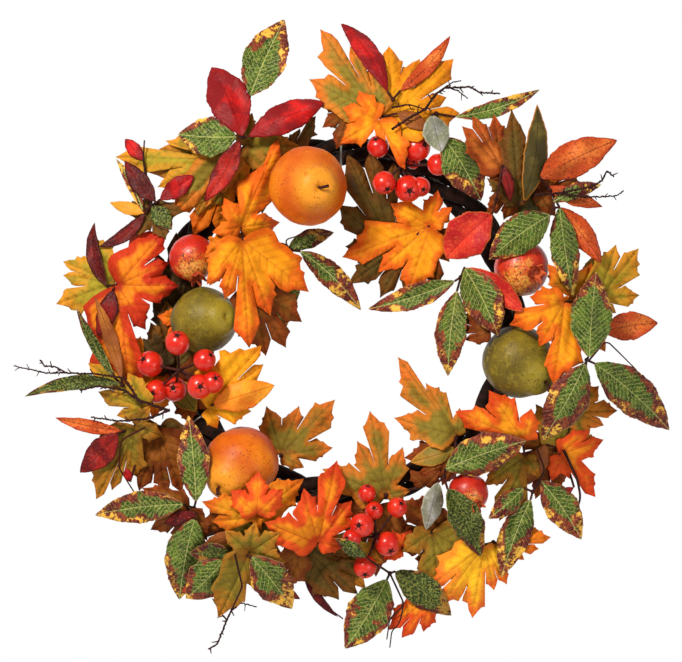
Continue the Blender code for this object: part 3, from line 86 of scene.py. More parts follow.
# Each pick: name, hub on the pattern grid, depth share, then rows in the order they lie, back first.
# Row: kind, base, tip or tips, width (units), sideways bend, look
#   B = one blade, M = lobed leaf, T = bare stem along the points, W = its radius in mm
PICKS = [
    ("maple_pick_left_back", (168, 372), 0.0, [
        ("M", (178, 334), [(156, 252), (176, 232), (190, 268), (152, 300)], 1.1, 0, "dark"),
        ("M", (172, 368), [(150, 322), (166, 300), (196, 296), (206, 338)], 1.1, 0, "darkolive"),
        ("M", (160, 370), [(118, 338), (110, 384), (128, 416), (152, 420)], 1.1, 0, "yelloworange"),
        ("M", (184, 385), [(214, 348), (230, 372), (216, 408), (190, 424)], 1.1, 0, "brown"),
        ("M", (168, 366), [(142, 338), (153, 333), (168, 345), (140, 372)], 1.0, 0, "dark"),
        ("M", (196, 322), [(157, 316), (165, 338), (178, 300)], 1.0, 0, "orange"),
        ("B", (172, 380), (196, 412), 26, 0, "olive"),
    ]),
    ("maple_pick_inner_top", (425, 226), 0.2, [
        ("M", (392, 250), [(347, 154), (370, 150), (394, 162), (338, 204), (402, 205), (345, 246)], 1.1, 0, "olive"),
        ("M", (412, 240), [(380, 298), (348, 284), (405, 292)], 0.9, 0, "darkolive"),
        ("M", (432, 240), [(435, 290), (450, 262), (466, 232)], 0.9, 0, "brown"),
        ("M", (430, 226), [(342, 257), (378, 272), (408, 294), (390, 203), (438, 190), (452, 207)], 1.05, 0, "orange"),
    ]),
    ("BERRIES", "berries_top"),
    ("maple_pick_top", (380, 117), 0.7, [
        ("M", (352, 108), [(336, 150), (318, 103), (322, 128)], 0.9, 0, "brown"),
        ("B", (385, 116), (374, 64), 14, 0.05, "yellowolive"),
        ("M", (392, 118), [(389, 45), (420, 58), (454, 58), (447, 97), (460, 113)], 1.3, 0, "yellow"),
        ("B", (397, 114), (429, 131), 17, 0.08, "brown"),
        ("M", (380, 115), [(309, 79), (320, 28), (350, 45), (372, 63)], 1.0, 0, "yelloworange"),
        ("M", (378, 120), [(405, 170), (385, 142), (340, 144), (342, 108), (358, 91)], 1.05, 0, "orange"),
    ]),
    ("laurel_pick_top", (436, 114), 0.3, [
        ("B", (455, 117), (541, 88), 17, -0.10, "laurel"),
        ("B", (443, 138), (481, 201), 41, 0.05, "laurel"),
        ("B", (431, 116), (441, 153), 27, 0.0, "grey"),
    ]),
    ("red_pick_top", (393, 100), 0.9, [
        ("B", (400, 91), (451, 34), 16, -0.10, "rust"),
        ("B", (387, 92), (341, 22), 22, -0.14, "red"),
    ]),
    ("TWIG", "twig_top_right"),
    ("maple_pick_upper_left", (238, 152), 0.2, [
        ("M", (290, 152), [(316, 115), (256, 138), (300, 128)], 0.9, 0, "darkolive"),
        ("M", (268, 132), [(250, 172), (240, 145), (262, 166)], 1.0, 0, "brown"),
        ("M", (262, 148), [(238, 190), (262, 214), (282, 162)], 1.0, 0, "darkolive"),
        ("M", (234, 160), [(170, 214), (192, 236), (218, 236), (246, 204)], 1.0, 0, "yelloworange"),
        ("M", (224, 158), [(148, 172), (172, 200), (196, 216), (158, 148)], 1.1, 0, "olive"),
        ("M", (222, 160), [(114, 156), (165, 140), (157, 187), (190, 150)], 0.9, 0, "yellowolive"),
        ("M", (244, 146), [(252, 112), (276, 112), (300, 146), (268, 172)], 1.0, 0, "olive"),
        ("M", (236, 152), [(175, 213), (205, 208), (222, 195)], 1.0, 0, "oliveorange"),
    ]),
    ("maple_pick_left", (117, 285), 0.6, [
        ("M", (115, 283), [(55, 304), (62, 275), (62, 261), (90, 235)], 1.1, 0, "yellowolive"),
        ("M", (118, 285), [(167, 229), (170, 262), (180, 286), (146, 330), (131, 400)], 1.1, 0, "redorange"),
        ("B", (113, 290), (97, 336), 21, 0.10, "burgundy"),
        ("B", (107, 286), (94, 222), 15, 0.22, "burgundy"),
    ]),
    ("leaf_pick_far_left", (152, 206), 0.5, [
        ("M", (154, 208), [(122, 212), (136, 236), (166, 240), (184, 212)], 1.0, 0, "darkolive"),
        ("B", (152, 206), (172, 230), 20, 0.0, "darkgreen"),
        ("B", (146, 212), (109, 202), 13, 0.05, "yellow"),
        ("B", (143, 160), (124, 138), 14, 0.0, "red"),
        ("T", [(152, 206), (146, 180), (143, 160), (144, 140)], 1.1, 0, 0, "twig"),
        ("B", (143, 211), (115, 158), 11, -0.08, "laurel"),
        ("B", (156, 202), (124, 160), 20, 0.04, "burgundy"),
        ("B", (145, 213), (98, 247), 14, 0.20, "burgundy"),
        ("B", (160, 200), (194, 176), 20, 0.0, "red"),
    ]),
    ("FRUIT", "pomegranate_left"),
    ("FRUIT", "pear_inner_left"),
    ("laurel_pick_inner_left", (291, 250), 0.5, [
        ("B", (288, 248), (334, 232), 19, 0.08, "darkgreen"),
        ("B", (300, 251), (361, 310), 25, 0.10, "laurel"),
        ("B", (290, 253), (279, 338), 34, -0.06, "laurel"),
        ("T", [(291, 250), (283, 241), (270, 247)], 0.8, 0, 0, "twig"),
        ("T", [(291, 250), (283, 240), (300, 235)], 0.8, 0, 0, "twig"),
    ]),
    ("maple_pick_inner_left", (243, 236), 0.8, [
        ("M", (252, 284), [(302, 322), (286, 348), (266, 356)], 1.1, 0, "brown"),
        ("M", (242, 234), [(204, 258), (210, 286), (238, 276)], 1.1, 0, "yelloworange"),
        ("M", (241, 228), [(279, 139), (262, 165), (224, 198), (213, 233), (280, 222)], 1.0, 0, "orange"),
        ("M", (243, 240), [(250, 348), (309, 292), (208, 285), (271, 316), (226, 300)], 1.05, 0, "orange"),
    ]),
    ("FRUIT", "pear_top"),
    ("maple_pick_low_left_inner", (208, 408), 0.5, [
        ("M", (208, 408), [(262, 345), (264, 364), (252, 411), (218, 428)], 1.15, 0, "yellow"),
        ("B", (214, 404), (275, 385), 30, 0.0, "yellowolive"),
    ]),
    ("BERRIES", "berries_left"),
    ("laurel_pick_upper_left", (243, 138), 0.9, [
        ("B", (250, 96), (284, 18), 44, 0.03, "laurel"),
        ("T", [(243, 138), (247, 118), (250, 96)], 1.3, 0, 0, "twig"),
        ("B", (237, 137), (178, 134), 40, 0.06, "laurel"),
        ("B", (240, 140), (204, 203), 22, 0.08, "burgundyred"),
        ("B", (249, 137), (324, 103), 31, 0.05, "red"),
        ("B", (243, 137), (211, 66), 42, -0.06, "red"),
    ]),
    ("maple_pick_upper_right", (533, 182), 0.2, [
        ("B", (533, 186), (524, 232), 36, 0.0, "darkolive"),
        ("M", (516, 186), [(486, 214), (484, 166), (504, 220)], 1.0, 0, "brown"),
        ("M", (504, 172), [(462, 126), (472, 116), (494, 114), (514, 130)], 1.0, 0, "brown"),
        ("M", (538, 190), [(568, 168), (588, 184), (556, 216)], 1.0, 0, "brown"),
        ("M", (545, 175), [(545, 154), (572, 160), (560, 148)], 1.1, 0, "yelloworange"),
        ("M", (518, 206), [(512, 108), (486, 178), (534, 160)], 0.60, 0, "olive"),
        ("B", (524, 202), (538, 103), 24, -0.10, "olive"),
    ]),
    ("red_pick_inner_right", (496, 200), 0.6, [
        ("B", (502, 165), (510, 203), 12, 0.10, "burgundy"),
        ("B", (492, 214), (446, 258), 44, -0.05, "redpink"),
    ]),
    ("FRUIT", "pomegranate_right"),
    ("FRUIT", "pear_right"),
    ("maple_pick_right", (585, 301), 0.5, [
        ("B", (590, 300), (594, 256), 26, 0.0, "yellowolive"),
        ("M", (590, 326), [(558, 300), (556, 348), (606, 352), (624, 326)], 1.0, 0, "oliveorange"),
        ("M", (578, 302), [(546, 264), (558, 300), (592, 262)], 1.0, 0, "yelloworange"),
        ("M", (598, 300), [(617, 244), (640, 248), (641, 295), (617, 313)], 1.05, 0, "yellowolive"),
        ("M", (563, 302), [(508, 325), (528, 297), (537, 347), (552, 385)], 1.15, 0, "orange"),
    ]),
    ("red_pick_upper_right", (550, 190), 0.6, [
        ("B", (560, 207), (601, 263), 25, 0.05, "rust"),
        ("B", (548, 186), (604, 206), 17, -0.05, "rust"),
        ("B", (540, 178), (619, 139), 36, 0.05, "rust"),
    ]),
    ("laurel_pick_upper_right", (554, 208), 0.9, [
        ("B", (553, 202), (603, 184), 17, 0.10, "laurel"),
        ("B", (560, 207), (573, 297), 29, -0.05, "laurel"),
        ("B", (550, 215), (488, 260), 39, -0.06, "laurel"),
    ]),
    ("TWIG", "twig_right"),
    ("laurel_pick_inner_right", (461, 277), 0.5, [
        ("M", (490, 332), [(443, 325), (465, 340), (459, 316)], 1.1, 0, "brown"),
        ("B", (464, 268), (521, 312), 26, 0.06, "redpink"),
        ("B", (457, 291), (448, 376), 31, -0.05, "laurel"),
        ("B", (455, 281), (368, 309), 25, 0.05, "laurel"),
        ("B", (464, 268), (497, 336), 39, 0.05, "laurel"),
    ]),
    ("maple_pick_low_right", (564, 450), 0.2, [
        ("M", (556, 446), [(514, 438), (516, 470), (536, 500), (560, 492)], 1.0, 0, "brown"),
        ("M", (562, 446), [(536, 404), (566, 388), (596, 402), (600, 440)], 1.0, 0, "olive"),
        ("M", (575, 412), [(600, 386), (619, 411), (605, 426), (588, 442)], 1.1, 0, "oliveorange"),
        ("M", (560, 455), [(590, 430), (605, 440), (597, 498), (572, 480), (552, 482)], 1.0, 0, "redorange"),
        ("B", (547, 445), (524, 487), 23, 0.0, "brown"),
        ("B", (575, 488), (553, 500), 10, 0.0, "red"),
        ("T", [(564, 450), (578, 480), (582, 500), (573, 520)], 1.4, 0, 0, "twig"),
    ]),
    ("laurel_pick_right", (587, 360), 0.8, [
        ("T", [(587, 360), (605, 340), (618, 352), (637, 370)], 0.9, 0, 0, "burgundy"),
        ("B", (603, 331), (660, 323), 29, 0.04, "rust"),
        ("B", (583, 370), (540, 434), 36, 0.15, "darkgreen"),
        ("B", (587, 357), (596, 272), 43, 0.03, "laurel"),
        ("B", (583, 363), (541, 440), 40, 0.04, "laurel"),
        ("B", (592, 363), (672, 431), 42, 0.06, "laurel"),
    ]),
    ("maple_pick_low_right_inner", (456, 438), 0.3, [
        ("M", (456, 452), [(404, 458), (418, 476), (442, 486)], 1.0, 0, "brown"),
        ("B", (455, 448), (410, 462), 20, 0.04, "oliveorange"),
        ("M", (457, 436), [(394, 418), (398, 357), (426, 383), (460, 408)], 0.9, 0, "oliveorange"),
    ]),
    ("maple_pick_orange_right", (523, 444), 0.5, [
        ("M", (525, 456), [(484, 486), (500, 522), (540, 478)], 1.0, 0, "olive"),
        ("M", (522, 440), [(455, 411), (488, 390), (476, 440), (530, 408)], 1.2, 0, "yelloworangered"),
    ]),
    ("FRUIT", "pomegranate_low"),
    ("maple_pick_low_inner", (386, 495), 0.3, [
        ("M", (378, 505), [(343, 515), (346, 556), (376, 578), (412, 556)], 1.0, 0, "brown"),
        ("M", (386, 495), [(322, 469), (357, 441), (370, 411), (403, 447), (411, 490)], 0.95, 0, "oliveorange"),
        ("M", (425, 486), [(410, 470), (440, 470)], 1.1, 0, "brown"),
    ]),
    ("maple_pick_bottom", (418, 548), 0.2, [
        ("M", (430, 598), [(388, 632), (402, 640), (424, 634)], 1.0, 0, "redorange"),
        ("M", (448, 530), [(398, 500), (390, 548), (420, 582), (474, 592)], 1.0, 0, "brown"),
        ("M", (402, 548), [(383, 560), (411, 530), (392, 530)], 1.1, 0, "redorange"),
        ("M", (432, 532), [(478, 559), (458, 584), (440, 590), (402, 552)], 1.15, 0, "olive"),
    ]),
    ("maple_pick_bottom_right", (494, 543), 0.3, [
        ("M", (505, 545), [(552, 538), (540, 550), (525, 561)], 1.0, 0, "yelloworange"),
        ("M", (485, 545), [(508, 586), (495, 592), (473, 620), (440, 607), (430, 588)], 1.0, 0, "yellowred"),
    ]),
    ("maple_pick_inner_bottom", (281, 456), 0.3, [
        ("M", (281, 455), [(266, 406), (299, 406), (335, 400), (333, 448), (304, 468)], 1.0, 0, "oliveorange"),
    ]),
    ("FRUIT", "pear_left"),
    ("maple_pick_low_left", (257, 514), 0.5, [
        ("M", (256, 516), [(192, 530), (204, 552), (232, 560)], 1.0, 0, "brown"),
        ("M", (262, 518), [(212, 566), (236, 588), (278, 580), (294, 548)], 1.0, 0, "olive"),
        ("M", (255, 515), [(203, 500), (304, 478), (262, 528), (212, 520)], 1.0, 0, "yelloworange"),
        ("M", (258, 512), [(232, 488), (259, 469), (284, 487)], 1.15, 0, "redorange"),
    ]),
    ("maple_pick_red_bottom", (309, 547), 0.6, [
        ("T", [(309, 547), (303, 573), (312, 597), (343, 620)], 1.1, 0, 0, "burgundy"),
        ("B", (304, 576), (338, 618), 9, -0.12, "burgundy"),
        ("M", (326, 546), [(296, 572), (320, 596), (366, 590), (384, 562)], 1.0, 0, "olive"),
        ("M", (306, 550), [(339, 601), (358, 595), (374, 572), (352, 555)], 1.1, 0, "darkolive"),
        ("M", (302, 551), [(270, 575), (287, 587)], 1.2, 0, "brown"),
        ("M", (318, 542), [(304, 487), (337, 460), (352, 500), (265, 520), (345, 545)], 1.1, 0, "redorange"),
    ]),
    ("BERRIES", "berries_bottom"),
    ("laurel_pick_bottom", (390, 574), 0.4, [
        ("B", (366, 556), (335, 537), 15, 0.0, "darkgreen"),
        ("T", [(390, 574), (405, 606), (390, 620), (387, 641)], 0.9, 0, 0, "twig"),
        ("T", [(390, 574), (404, 604), (400, 625), (392, 632), (390, 649)], 0.9, 0, 0, "twig"),
        ("B", (395, 572), (452, 617), 33, 0.05, "darkgreen"),
        ("B", (387, 580), (345, 650), 44, 0.05, "laurel"),
    ]),
    ("laurel_pick_low_right_inner", (444, 477), 0.6, [
        ("B", (438, 482), (426, 530), 21, 0.0, "grey"),
        ("B", (447, 488), (481, 557), 33, 0.08, "darkgreen"),
        ("B", (445, 469), (525, 440), 41, 0.05, "laurel"),
    ]),
    ("laurel_pick_low_right", (533, 492), 0.8, [
        ("B", (531, 500), (502, 578), 32, -0.05, "laurel"),
        ("B", (524, 488), (488, 518), 22, 0.05, "laurel"),
        ("B", (541, 481), (583, 541), 34, 0.06, "laurel"),
        ("T", [(533, 492), (545, 470), (536, 446)], 1.0, 0, 0, "twig"),
    ]),
    ("leaf_pick_low_left", (146, 427), 0.4, [
        ("M", (160, 426), [(116, 462), (150, 478), (190, 472), (196, 440)], 1.0, 0, "darkolive"),
        ("M", (158, 428), [(138, 492), (165, 496), (182, 494)], 1.0, 0, "brown"),
        ("M", (147, 408), [(87, 363), (97, 392), (116, 416), (128, 372)], 1.0, 0, "yellowolive"),
        ("M", (135, 425), [(95, 500), (111, 491), (128, 482), (164, 436), (152, 405)], 1.05, 0, "olive"),
        ("B", (122, 431), (54, 418), 14, 0.05, "rust"),
        ("B", (118, 433), (79, 473), 27, 0.05, "burgundyred"),
        ("T", [(146, 427), (121, 440), (119, 468), (143, 508)], 0.9, 0, 0, "burgundy"),
        ("B", (130, 482), (126, 468), 9, 0.0, "red"),
    ]),
    ("laurel_pick_low_left", (194, 508), 0.8, [
        ("M", (190, 508), [(142, 488), (150, 530), (176, 548), (208, 540)], 1.0, 0, "brown"),
        ("B", (198, 512), (164, 523), 15, 0.0, "burgundyred"),
        ("B", (196, 517), (179, 600), 42, -0.04, "laurel"),
        ("B", (185, 503), (94, 516), 32, -0.06, "laurel"),
        ("B", (197, 500), (189, 415), 32, -0.04, "laurel"),
    ]),
    ("laurel_pick_bottom_left", (236, 552), 0.6, [
        ("B", (240, 530), (203, 545), 14, 0.0, "brown"),
        ("B", (238, 562), (182, 592), 24, 0.0, "rust"),
        ("B", (246, 566), (300, 600), 20, 0.0, "burgundy"),
        ("B", (232, 551), (190, 552), 22, 0.0, "darkgreen"),
        ("B", (225, 558), (186, 598), 39, 0.05, "laurel"),
        ("M", (250, 550), [(218, 618), (226, 528), (256, 520), (281, 530), (286, 562), (262, 596)], 1.0, 0, "olive"),
        ("B", (252, 555), (292, 609), 39, 0.05, "laurel"),
        ("T", [(236, 552), (243, 585), (226, 622), (217, 645)], 1.0, 0, 0, "twig"),
    ]),
    ("laurel_pick_far_left", (123, 385), 0.5, [
        ("B", (115, 378), (76, 307), 11, 0.05, "darkgreen"),
        ("B", (122, 380), (95, 297), 14, -0.05, "brown"),
        ("B", (122, 384), (23, 397), 15, -0.15, "darkgreen"),
    ]),
    ("TWIG", "twig_left"),
    ("TWIG", "twig_bottom"),
]

# Bare twigs: name: list of (points, radius in mm); the first one carries the others.
TWIGS = {
    "twig_top_right": [
        ([(392, 130), (410, 118), (425, 110), (435, 95), (445, 88), (470, 86), (480, 92), (500, 93)], 1.2),
        ([(430, 102), (441, 90), (453, 82), (461, 80)], 0.8),
        ([(448, 87), (458, 90), (468, 98)], 0.8),
        ([(392, 108), (408, 105), (425, 110)], 0.9),
    ],
    "twig_right": [
        ([(535, 195), (560, 193), (590, 187), (603, 180), (608, 170), (615, 176)], 1.1),
        ([(555, 193), (585, 197), (608, 196), (618, 195), (625, 190)], 0.9),
    ],
    "twig_left": [
        ([(170, 410), (140, 400), (125, 390), (100, 386), (80, 390)], 1.3),
        ([(140, 400), (125, 378), (98, 374), (66, 373), (55, 367), (43, 366), (39, 360)], 1.1),
        ([(66, 373), (45, 373), (30, 370), (12, 366)], 0.8),
        ([(170, 410), (150, 418), (120, 421), (91, 417)], 1.1),
    ],
    "twig_bottom": [
        ([(262, 520), (250, 560), (243, 585), (238, 597), (226, 622), (217, 645), (208, 651)], 1.2),
        ([(231, 612), (240, 604), (256, 608)], 0.8),
        ([(226, 622), (219, 612), (212, 600)], 0.8),
    ],
}

# Fruit: kind, centre, radius (units), direction of the neck or calyx (right, forward, up)
FRUIT = {
    "pear_top": ("pear", (309, 187), 39.0, (0.26, 0.96, -0.06)),
    "pear_left": ("pear", (239, 466), 37.0, (-0.48, 0.68, -0.50)),
    "pear_right": ("pear", (521, 364), 36.0, (0.60, 0.62, -0.46)),
    "pear_inner_left": ("pear", (207, 320), 33.0, (0.55, 0.75, 0.10)),
    "pomegranate_left": ("pomegranate", (193, 258), 24.0, (0.20, 0.60, -0.78)),
    "pomegranate_right": ("pomegranate", (521, 268), 28.0, (0.42, 0.88, -0.18)),
    "pomegranate_low": ("pomegranate", (468, 493), 20.5, (0.40, 0.75, -0.52)),
}
STEMMED = {"pear_top": (0.012, (0.9, 0.25, 0.20)), "pear_left": (0.009, (0.1, 0.5, -0.8)), "pear_right": (0.011, (0.1, 0.3, -0.9))}

# Berries: hub, then centre and radius (units) of each, and the direction its calyx looks
BERRIES = {
    "berries_top": ((402, 166), [
        ((378, 147), 11.0, (-0.2, 0.6, 0.6)), ((416, 148), 14.0, (0.6, 0.7, 0.2)), ((438, 165), 11.0, (0.7, 0.5, 0.0)),
        ((413, 163), 6.5, (0.1, 0.9, 0.1)), ((420, 187), 10.0, (0.3, 0.8, -0.3)), ((384, 183), 11.5, (0.3, 0.7, -0.6)),
        ((408, 189), 13.5, (0.1, 0.95, -0.2))]),
    "berries_left": ((180, 370), [
        ((179, 343), 12.0, (0.0, 0.7, 0.65)), ((151, 364), 13.0, (-0.55, 0.7, 0.4)), ((206, 360), 11.0, (0.6, 0.6, 0.5)),
        ((214, 382), 11.0, (0.3, 0.8, 0.4)), ((175, 389), 12.5, (-0.1, 0.95, 0.1)), ((157, 391), 11.5, (-0.3, 0.9, -0.2)),
        ((201, 386), 12.5, (0.1, 0.95, 0.0))]),
    "berries_bottom": ((376, 536), [
        ((367, 493), 9.0, (0.1, 0.5, 0.8)), ((397, 507), 10.0, (0.4, 0.7, 0.4)), ((374, 510), 9.0, (0.0, 0.9, 0.3)),
        ((352, 537), 9.0, (-0.6, 0.7, 0.0)), ((362, 524), 12.0, (-0.3, 0.95, 0.0)), ((387, 543), 12.0, (0.3, 0.7, -0.6)),
        ((365, 566), 11.5, (0.0, 0.7, -0.7))]),
}

# ---------------------------------------------------------------- laying the pieces on each other
# Depth is measured from the door towards the room, so y = -depth. FIELD keeps the front of all
# that is already laid, and each new piece is laid in front of it with a clearance.
HALF, CELL = 0.330, 0.0015
SIDE = int(2 * HALF / CELL)
FIELD = np.full((SIDE, SIDE), -1.0)


def pat(p):
    return np.array([(p[0] - PAT_X) * U, (PAT_Z - p[1]) * U])


def cells(xz):
    ij = np.floor((xz + HALF) / CELL).astype(int)
    return np.clip(ij, 1, SIDE - 2)


def put(xz, depth):
    ij = cells(xz)
    np.maximum.at(FIELD, (ij[:, 0], ij[:, 1]), depth)


def spread(field):
    wide = field.copy()
    for di in (-1, 0, 1):
        for dj in (-1, 0, 1):
            wide = np.maximum(wide, np.roll(np.roll(field, di, 0), dj, 1))
    return wide


def envelope(xz, share):
    """Natural depth of a leaf there: deepest over the ring, falling back towards the tips."""
    rho = np.hypot(xz[:, 0], xz[:, 1])
    width = np.where(rho > RING_R, 0.085, 0.060)
    depth = 0.027 + (0.014 + 0.036 * share) * np.exp(-(((rho - RING_R) / width) ** 2))
    # Leaves are pressed back where a fruit sits.
    for _, centre, radius, _ in FRUIT.values():
        off = np.hypot(*(xz - pat(centre)).T) / (1.25 * radius * U)
        depth = depth - 0.018 * np.clip(1 - off ** 2, 0, 1)
    return depth


def tri_samples(xz, tris, step):
    """Barycentric samples over every triangle: triangle number and the three weights."""
    numbers, weights = [], []
    a, b, c = xz[tris[:, 0]], xz[tris[:, 1]], xz[tris[:, 2]]
    longest = np.max([np.linalg.norm(a - b, axis=1), np.linalg.norm(b - c, axis=1), np.linalg.norm(c - a, axis=1)], axis=0)
    parts = np.clip(np.ceil(longest / step), 1, 60).astype(int)
    for n in np.unique(parts):
        which = np.nonzero(parts == n)[0]
        grid = np.array([(i, j, n - i - j) for i in range(n + 1) for j in range(n + 1 - i)], float) / n
        numbers.append(np.repeat(which, len(grid)))
        weights.append(np.tile(grid, (len(which), 1)))
    return np.concatenate(numbers), np.concatenate(weights)


def drape(xz, tris, natural, thick, own_field, other_field, hub, step=0.0011, slope=0.55, near=0.0075):
    """Front depth of every vertex, so that the slab behind it clears all that is laid."""
    number, weight = tri_samples(xz, tris, step)
    at = np.einsum("ij,ijk->ik", weight, xz[tris[number]])
    ij = cells(at)
    need = own_field[ij[:, 0], ij[:, 1]]
    if hub is not None:
        close = np.hypot(*(at - hub).T) < near
        need = np.where(close, other_field[ij[:, 0], ij[:, 1]], need)
    need = need + thick + GAP
    rest = (weight * natural[tris[number]]).sum(1)
    lack = need - rest
    depth = natural.copy()
    bad = lack > 0
    if bad.any():
        gap_to = np.linalg.norm(xz[:, None, :] - at[bad][None, :, :], axis=2)
        depth = depth + np.maximum(0.0, (lack[bad][None, :] - slope * gap_to).max(axis=1))
    for _ in range(60):
        lack = need - (weight * depth[tris[number]]).sum(1)
        bad = lack > 1e-6
        if not bad.any():
            break
        push = np.zeros(len(depth))
        w = weight[bad]
        share = lack[bad][:, None] * w / (w ** 2).sum(1)[:, None]
        for k in range(3):
            np.maximum.at(push, tris[number[bad], k], share[:, k])
        depth = depth + push
    depth = depth + max(0.0, float((need - (weight * depth[tris[number]]).sum(1)).max()))
    return depth, at, (weight * depth[tris[number]]).sum(1)


def axis_points(base, tip, bend, count):
    """The rib of a blade: a bowed line from base to tip, with its sideways directions."""
    t = np.linspace(0.0, 1.0, count)[:, None]
    run = tip - base
    side = np.array([-run[1], run[0]])
    mid = (base + tip) / 2 + side * bend
    line = (1 - t) ** 2 * base + 2 * t * (1 - t) * mid + t ** 2 * tip
    along = 2 * (1 - t) * (mid - base) + 2 * t * (tip - mid)
    along /= np.linalg.norm(along, axis=1)[:, None]
    return line, np.stack([-along[:, 1], along[:, 0]], axis=1)


def blade_outline(base, tip, bend, shares, widths):
    """Closed outline of one blade. shares: places along the rib, widths: half widths in metres."""
    count = 101
    line, side = axis_points(base, tip, bend, count)
    at = np.clip(np.round(np.array(shares) * (count - 1)).astype(int), 0, count - 1)
    left = line[at] + side[at] * np.array(widths)[:, None]
    right = line[at] - side[at] * np.array(widths)[:, None]
    return np.concatenate([[base], left, [tip], right[::-1]])


def triangulate(outlines, inner, ribs):
    """One flat sheet from overlapping outlines, with extra points inside and lines kept as edges."""
    points, edges, faces = [], [], []
    for outline in outlines:
        start = len(points)
        points += [Vector(p) for p in outline]
        faces.append(list(range(start, len(points))))
    for line in ribs:
        start = len(points)
        points += [Vector(p) for p in line]
        edges += [(k, k + 1) for k in range(start, len(points) - 1)]
    points += [Vector(p) for p in inner]
    found = geometry.delaunay_2d_cdt(points, edges, faces, 1, 1e-6)
    xz = np.array([[v.x, v.y] for v in found[0]])
    tris = np.array([list(f) for f in found[2]], int)
    return xz, tris


def tidy(xz, tris):
    """Triangles of real area, wound one way, with the unused points dropped."""
    a, b, c = xz[tris[:, 0]], xz[tris[:, 1]], xz[tris[:, 2]]
    area = (b[:, 0] - a[:, 0]) * (c[:, 1] - a[:, 1]) - (b[:, 1] - a[:, 1]) * (c[:, 0] - a[:, 0])
    tris = np.where((area < 0)[:, None], tris[:, ::-1], tris)
    keep = np.abs(area) > 1e-10
    tris = tris[keep]
    used, tris = np.unique(tris, return_inverse=True)
    return xz[used], tris.reshape(-1, 3)


def rest_depth(points, field):
    """How far forward a rigid shape moves to clear all laid: points are x, depth, z relative to depth 0."""
    ij = cells(points[:, [0, 2]])
    return float((field[ij[:, 0], ij[:, 1]] + GAP - points[:, 1]).max())


def stem_path(points, radius, natural, field, step=0.004):
    """A bare stem laid over the rest: pattern points to x, depth, z."""
    flat = np.array([pat(p) for p in points])
    fine = [flat[0]]
    for a, b in zip(flat[:-1], flat[1:]):
        n = max(1, int(np.ceil(np.linalg.norm(b - a) / step)))
        fine += [a + (b - a) * k / n for k in range(1, n + 1)]
    fine = np.array(fine)
    ij = cells(fine)
    need = field[ij[:, 0], ij[:, 1]]
    reach = int(np.ceil((radius + 0.0012) / CELL))
    for di in range(-reach, reach + 1):
        for dj in range(-reach, reach + 1):
            need = np.maximum(need, field[np.clip(ij[:, 0] + di, 0, SIDE - 1), np.clip(ij[:, 1] + dj, 0, SIDE - 1)])
    need = need + radius + GAP
    depth = np.maximum(natural(fine), need)
    run = np.concatenate([[0], np.cumsum(np.linalg.norm(np.diff(fine, axis=0), axis=1))])
    lift = depth - natural(fine)
    lift = np.array([(lift - 0.6 * np.abs(run - r)).max() for r in run])
    depth = natural(fine) + np.maximum(lift, 0)
    smooth = depth.copy()
    for _ in range(3):
        smooth[1:-1] = np.maximum(need[1:-1], (smooth[:-2] + 2 * smooth[1:-1] + smooth[2:]) / 4)
    near = np.maximum.reduce([need, np.r_[need[1:], need[-1]], np.r_[need[0], need[:-1]]])
    return np.stack([fine[:, 0], np.maximum(smooth, near), fine[:, 1]], axis=1)


def put_tube(path, radius, extra=0.0):
    line = []
    for a, b in zip(path[:-1], path[1:]):
        n = max(1, int(np.ceil(np.linalg.norm(b - a) / 0.0007)))
        line.append(a + (b - a) * (np.arange(n + 1) / n)[:, None])
    line = np.concatenate(line)
    for off in np.linspace(-1, 1, 7):
        for way in ((1, 0), (0, 1), (0.7, 0.7), (0.7, -0.7)):
            xz = line[:, [0, 2]] + np.array(way) * off * radius
            put(xz, line[:, 1] + radius + extra)

PIN_Z = RING_R + EYE_UP + EYE_RING - EYE_R - 0.0005 - LOOP_R
HOOK = PIN_Z + LOOP_H - LOOP_R
LEAF_T = 0.00045
H_LEAF = 0.0026   # spacing of the points in a leaf


def world(path):
    path = np.asarray(path, float)
    return np.stack([path[:, 0], RING_D - path[:, 1], path[:, 2] - HOOK], axis=1)


# ---------------------------------------------------------------- materials
def linear(code):
    out = []
    for k in (0, 2, 4):
        c = int(code[k:k + 2], 16) / 255
        out.append(c / 12.92 if c <= 0.04045 else ((c + 0.055) / 1.055) ** 2.4)
    return (*out, 1.0)


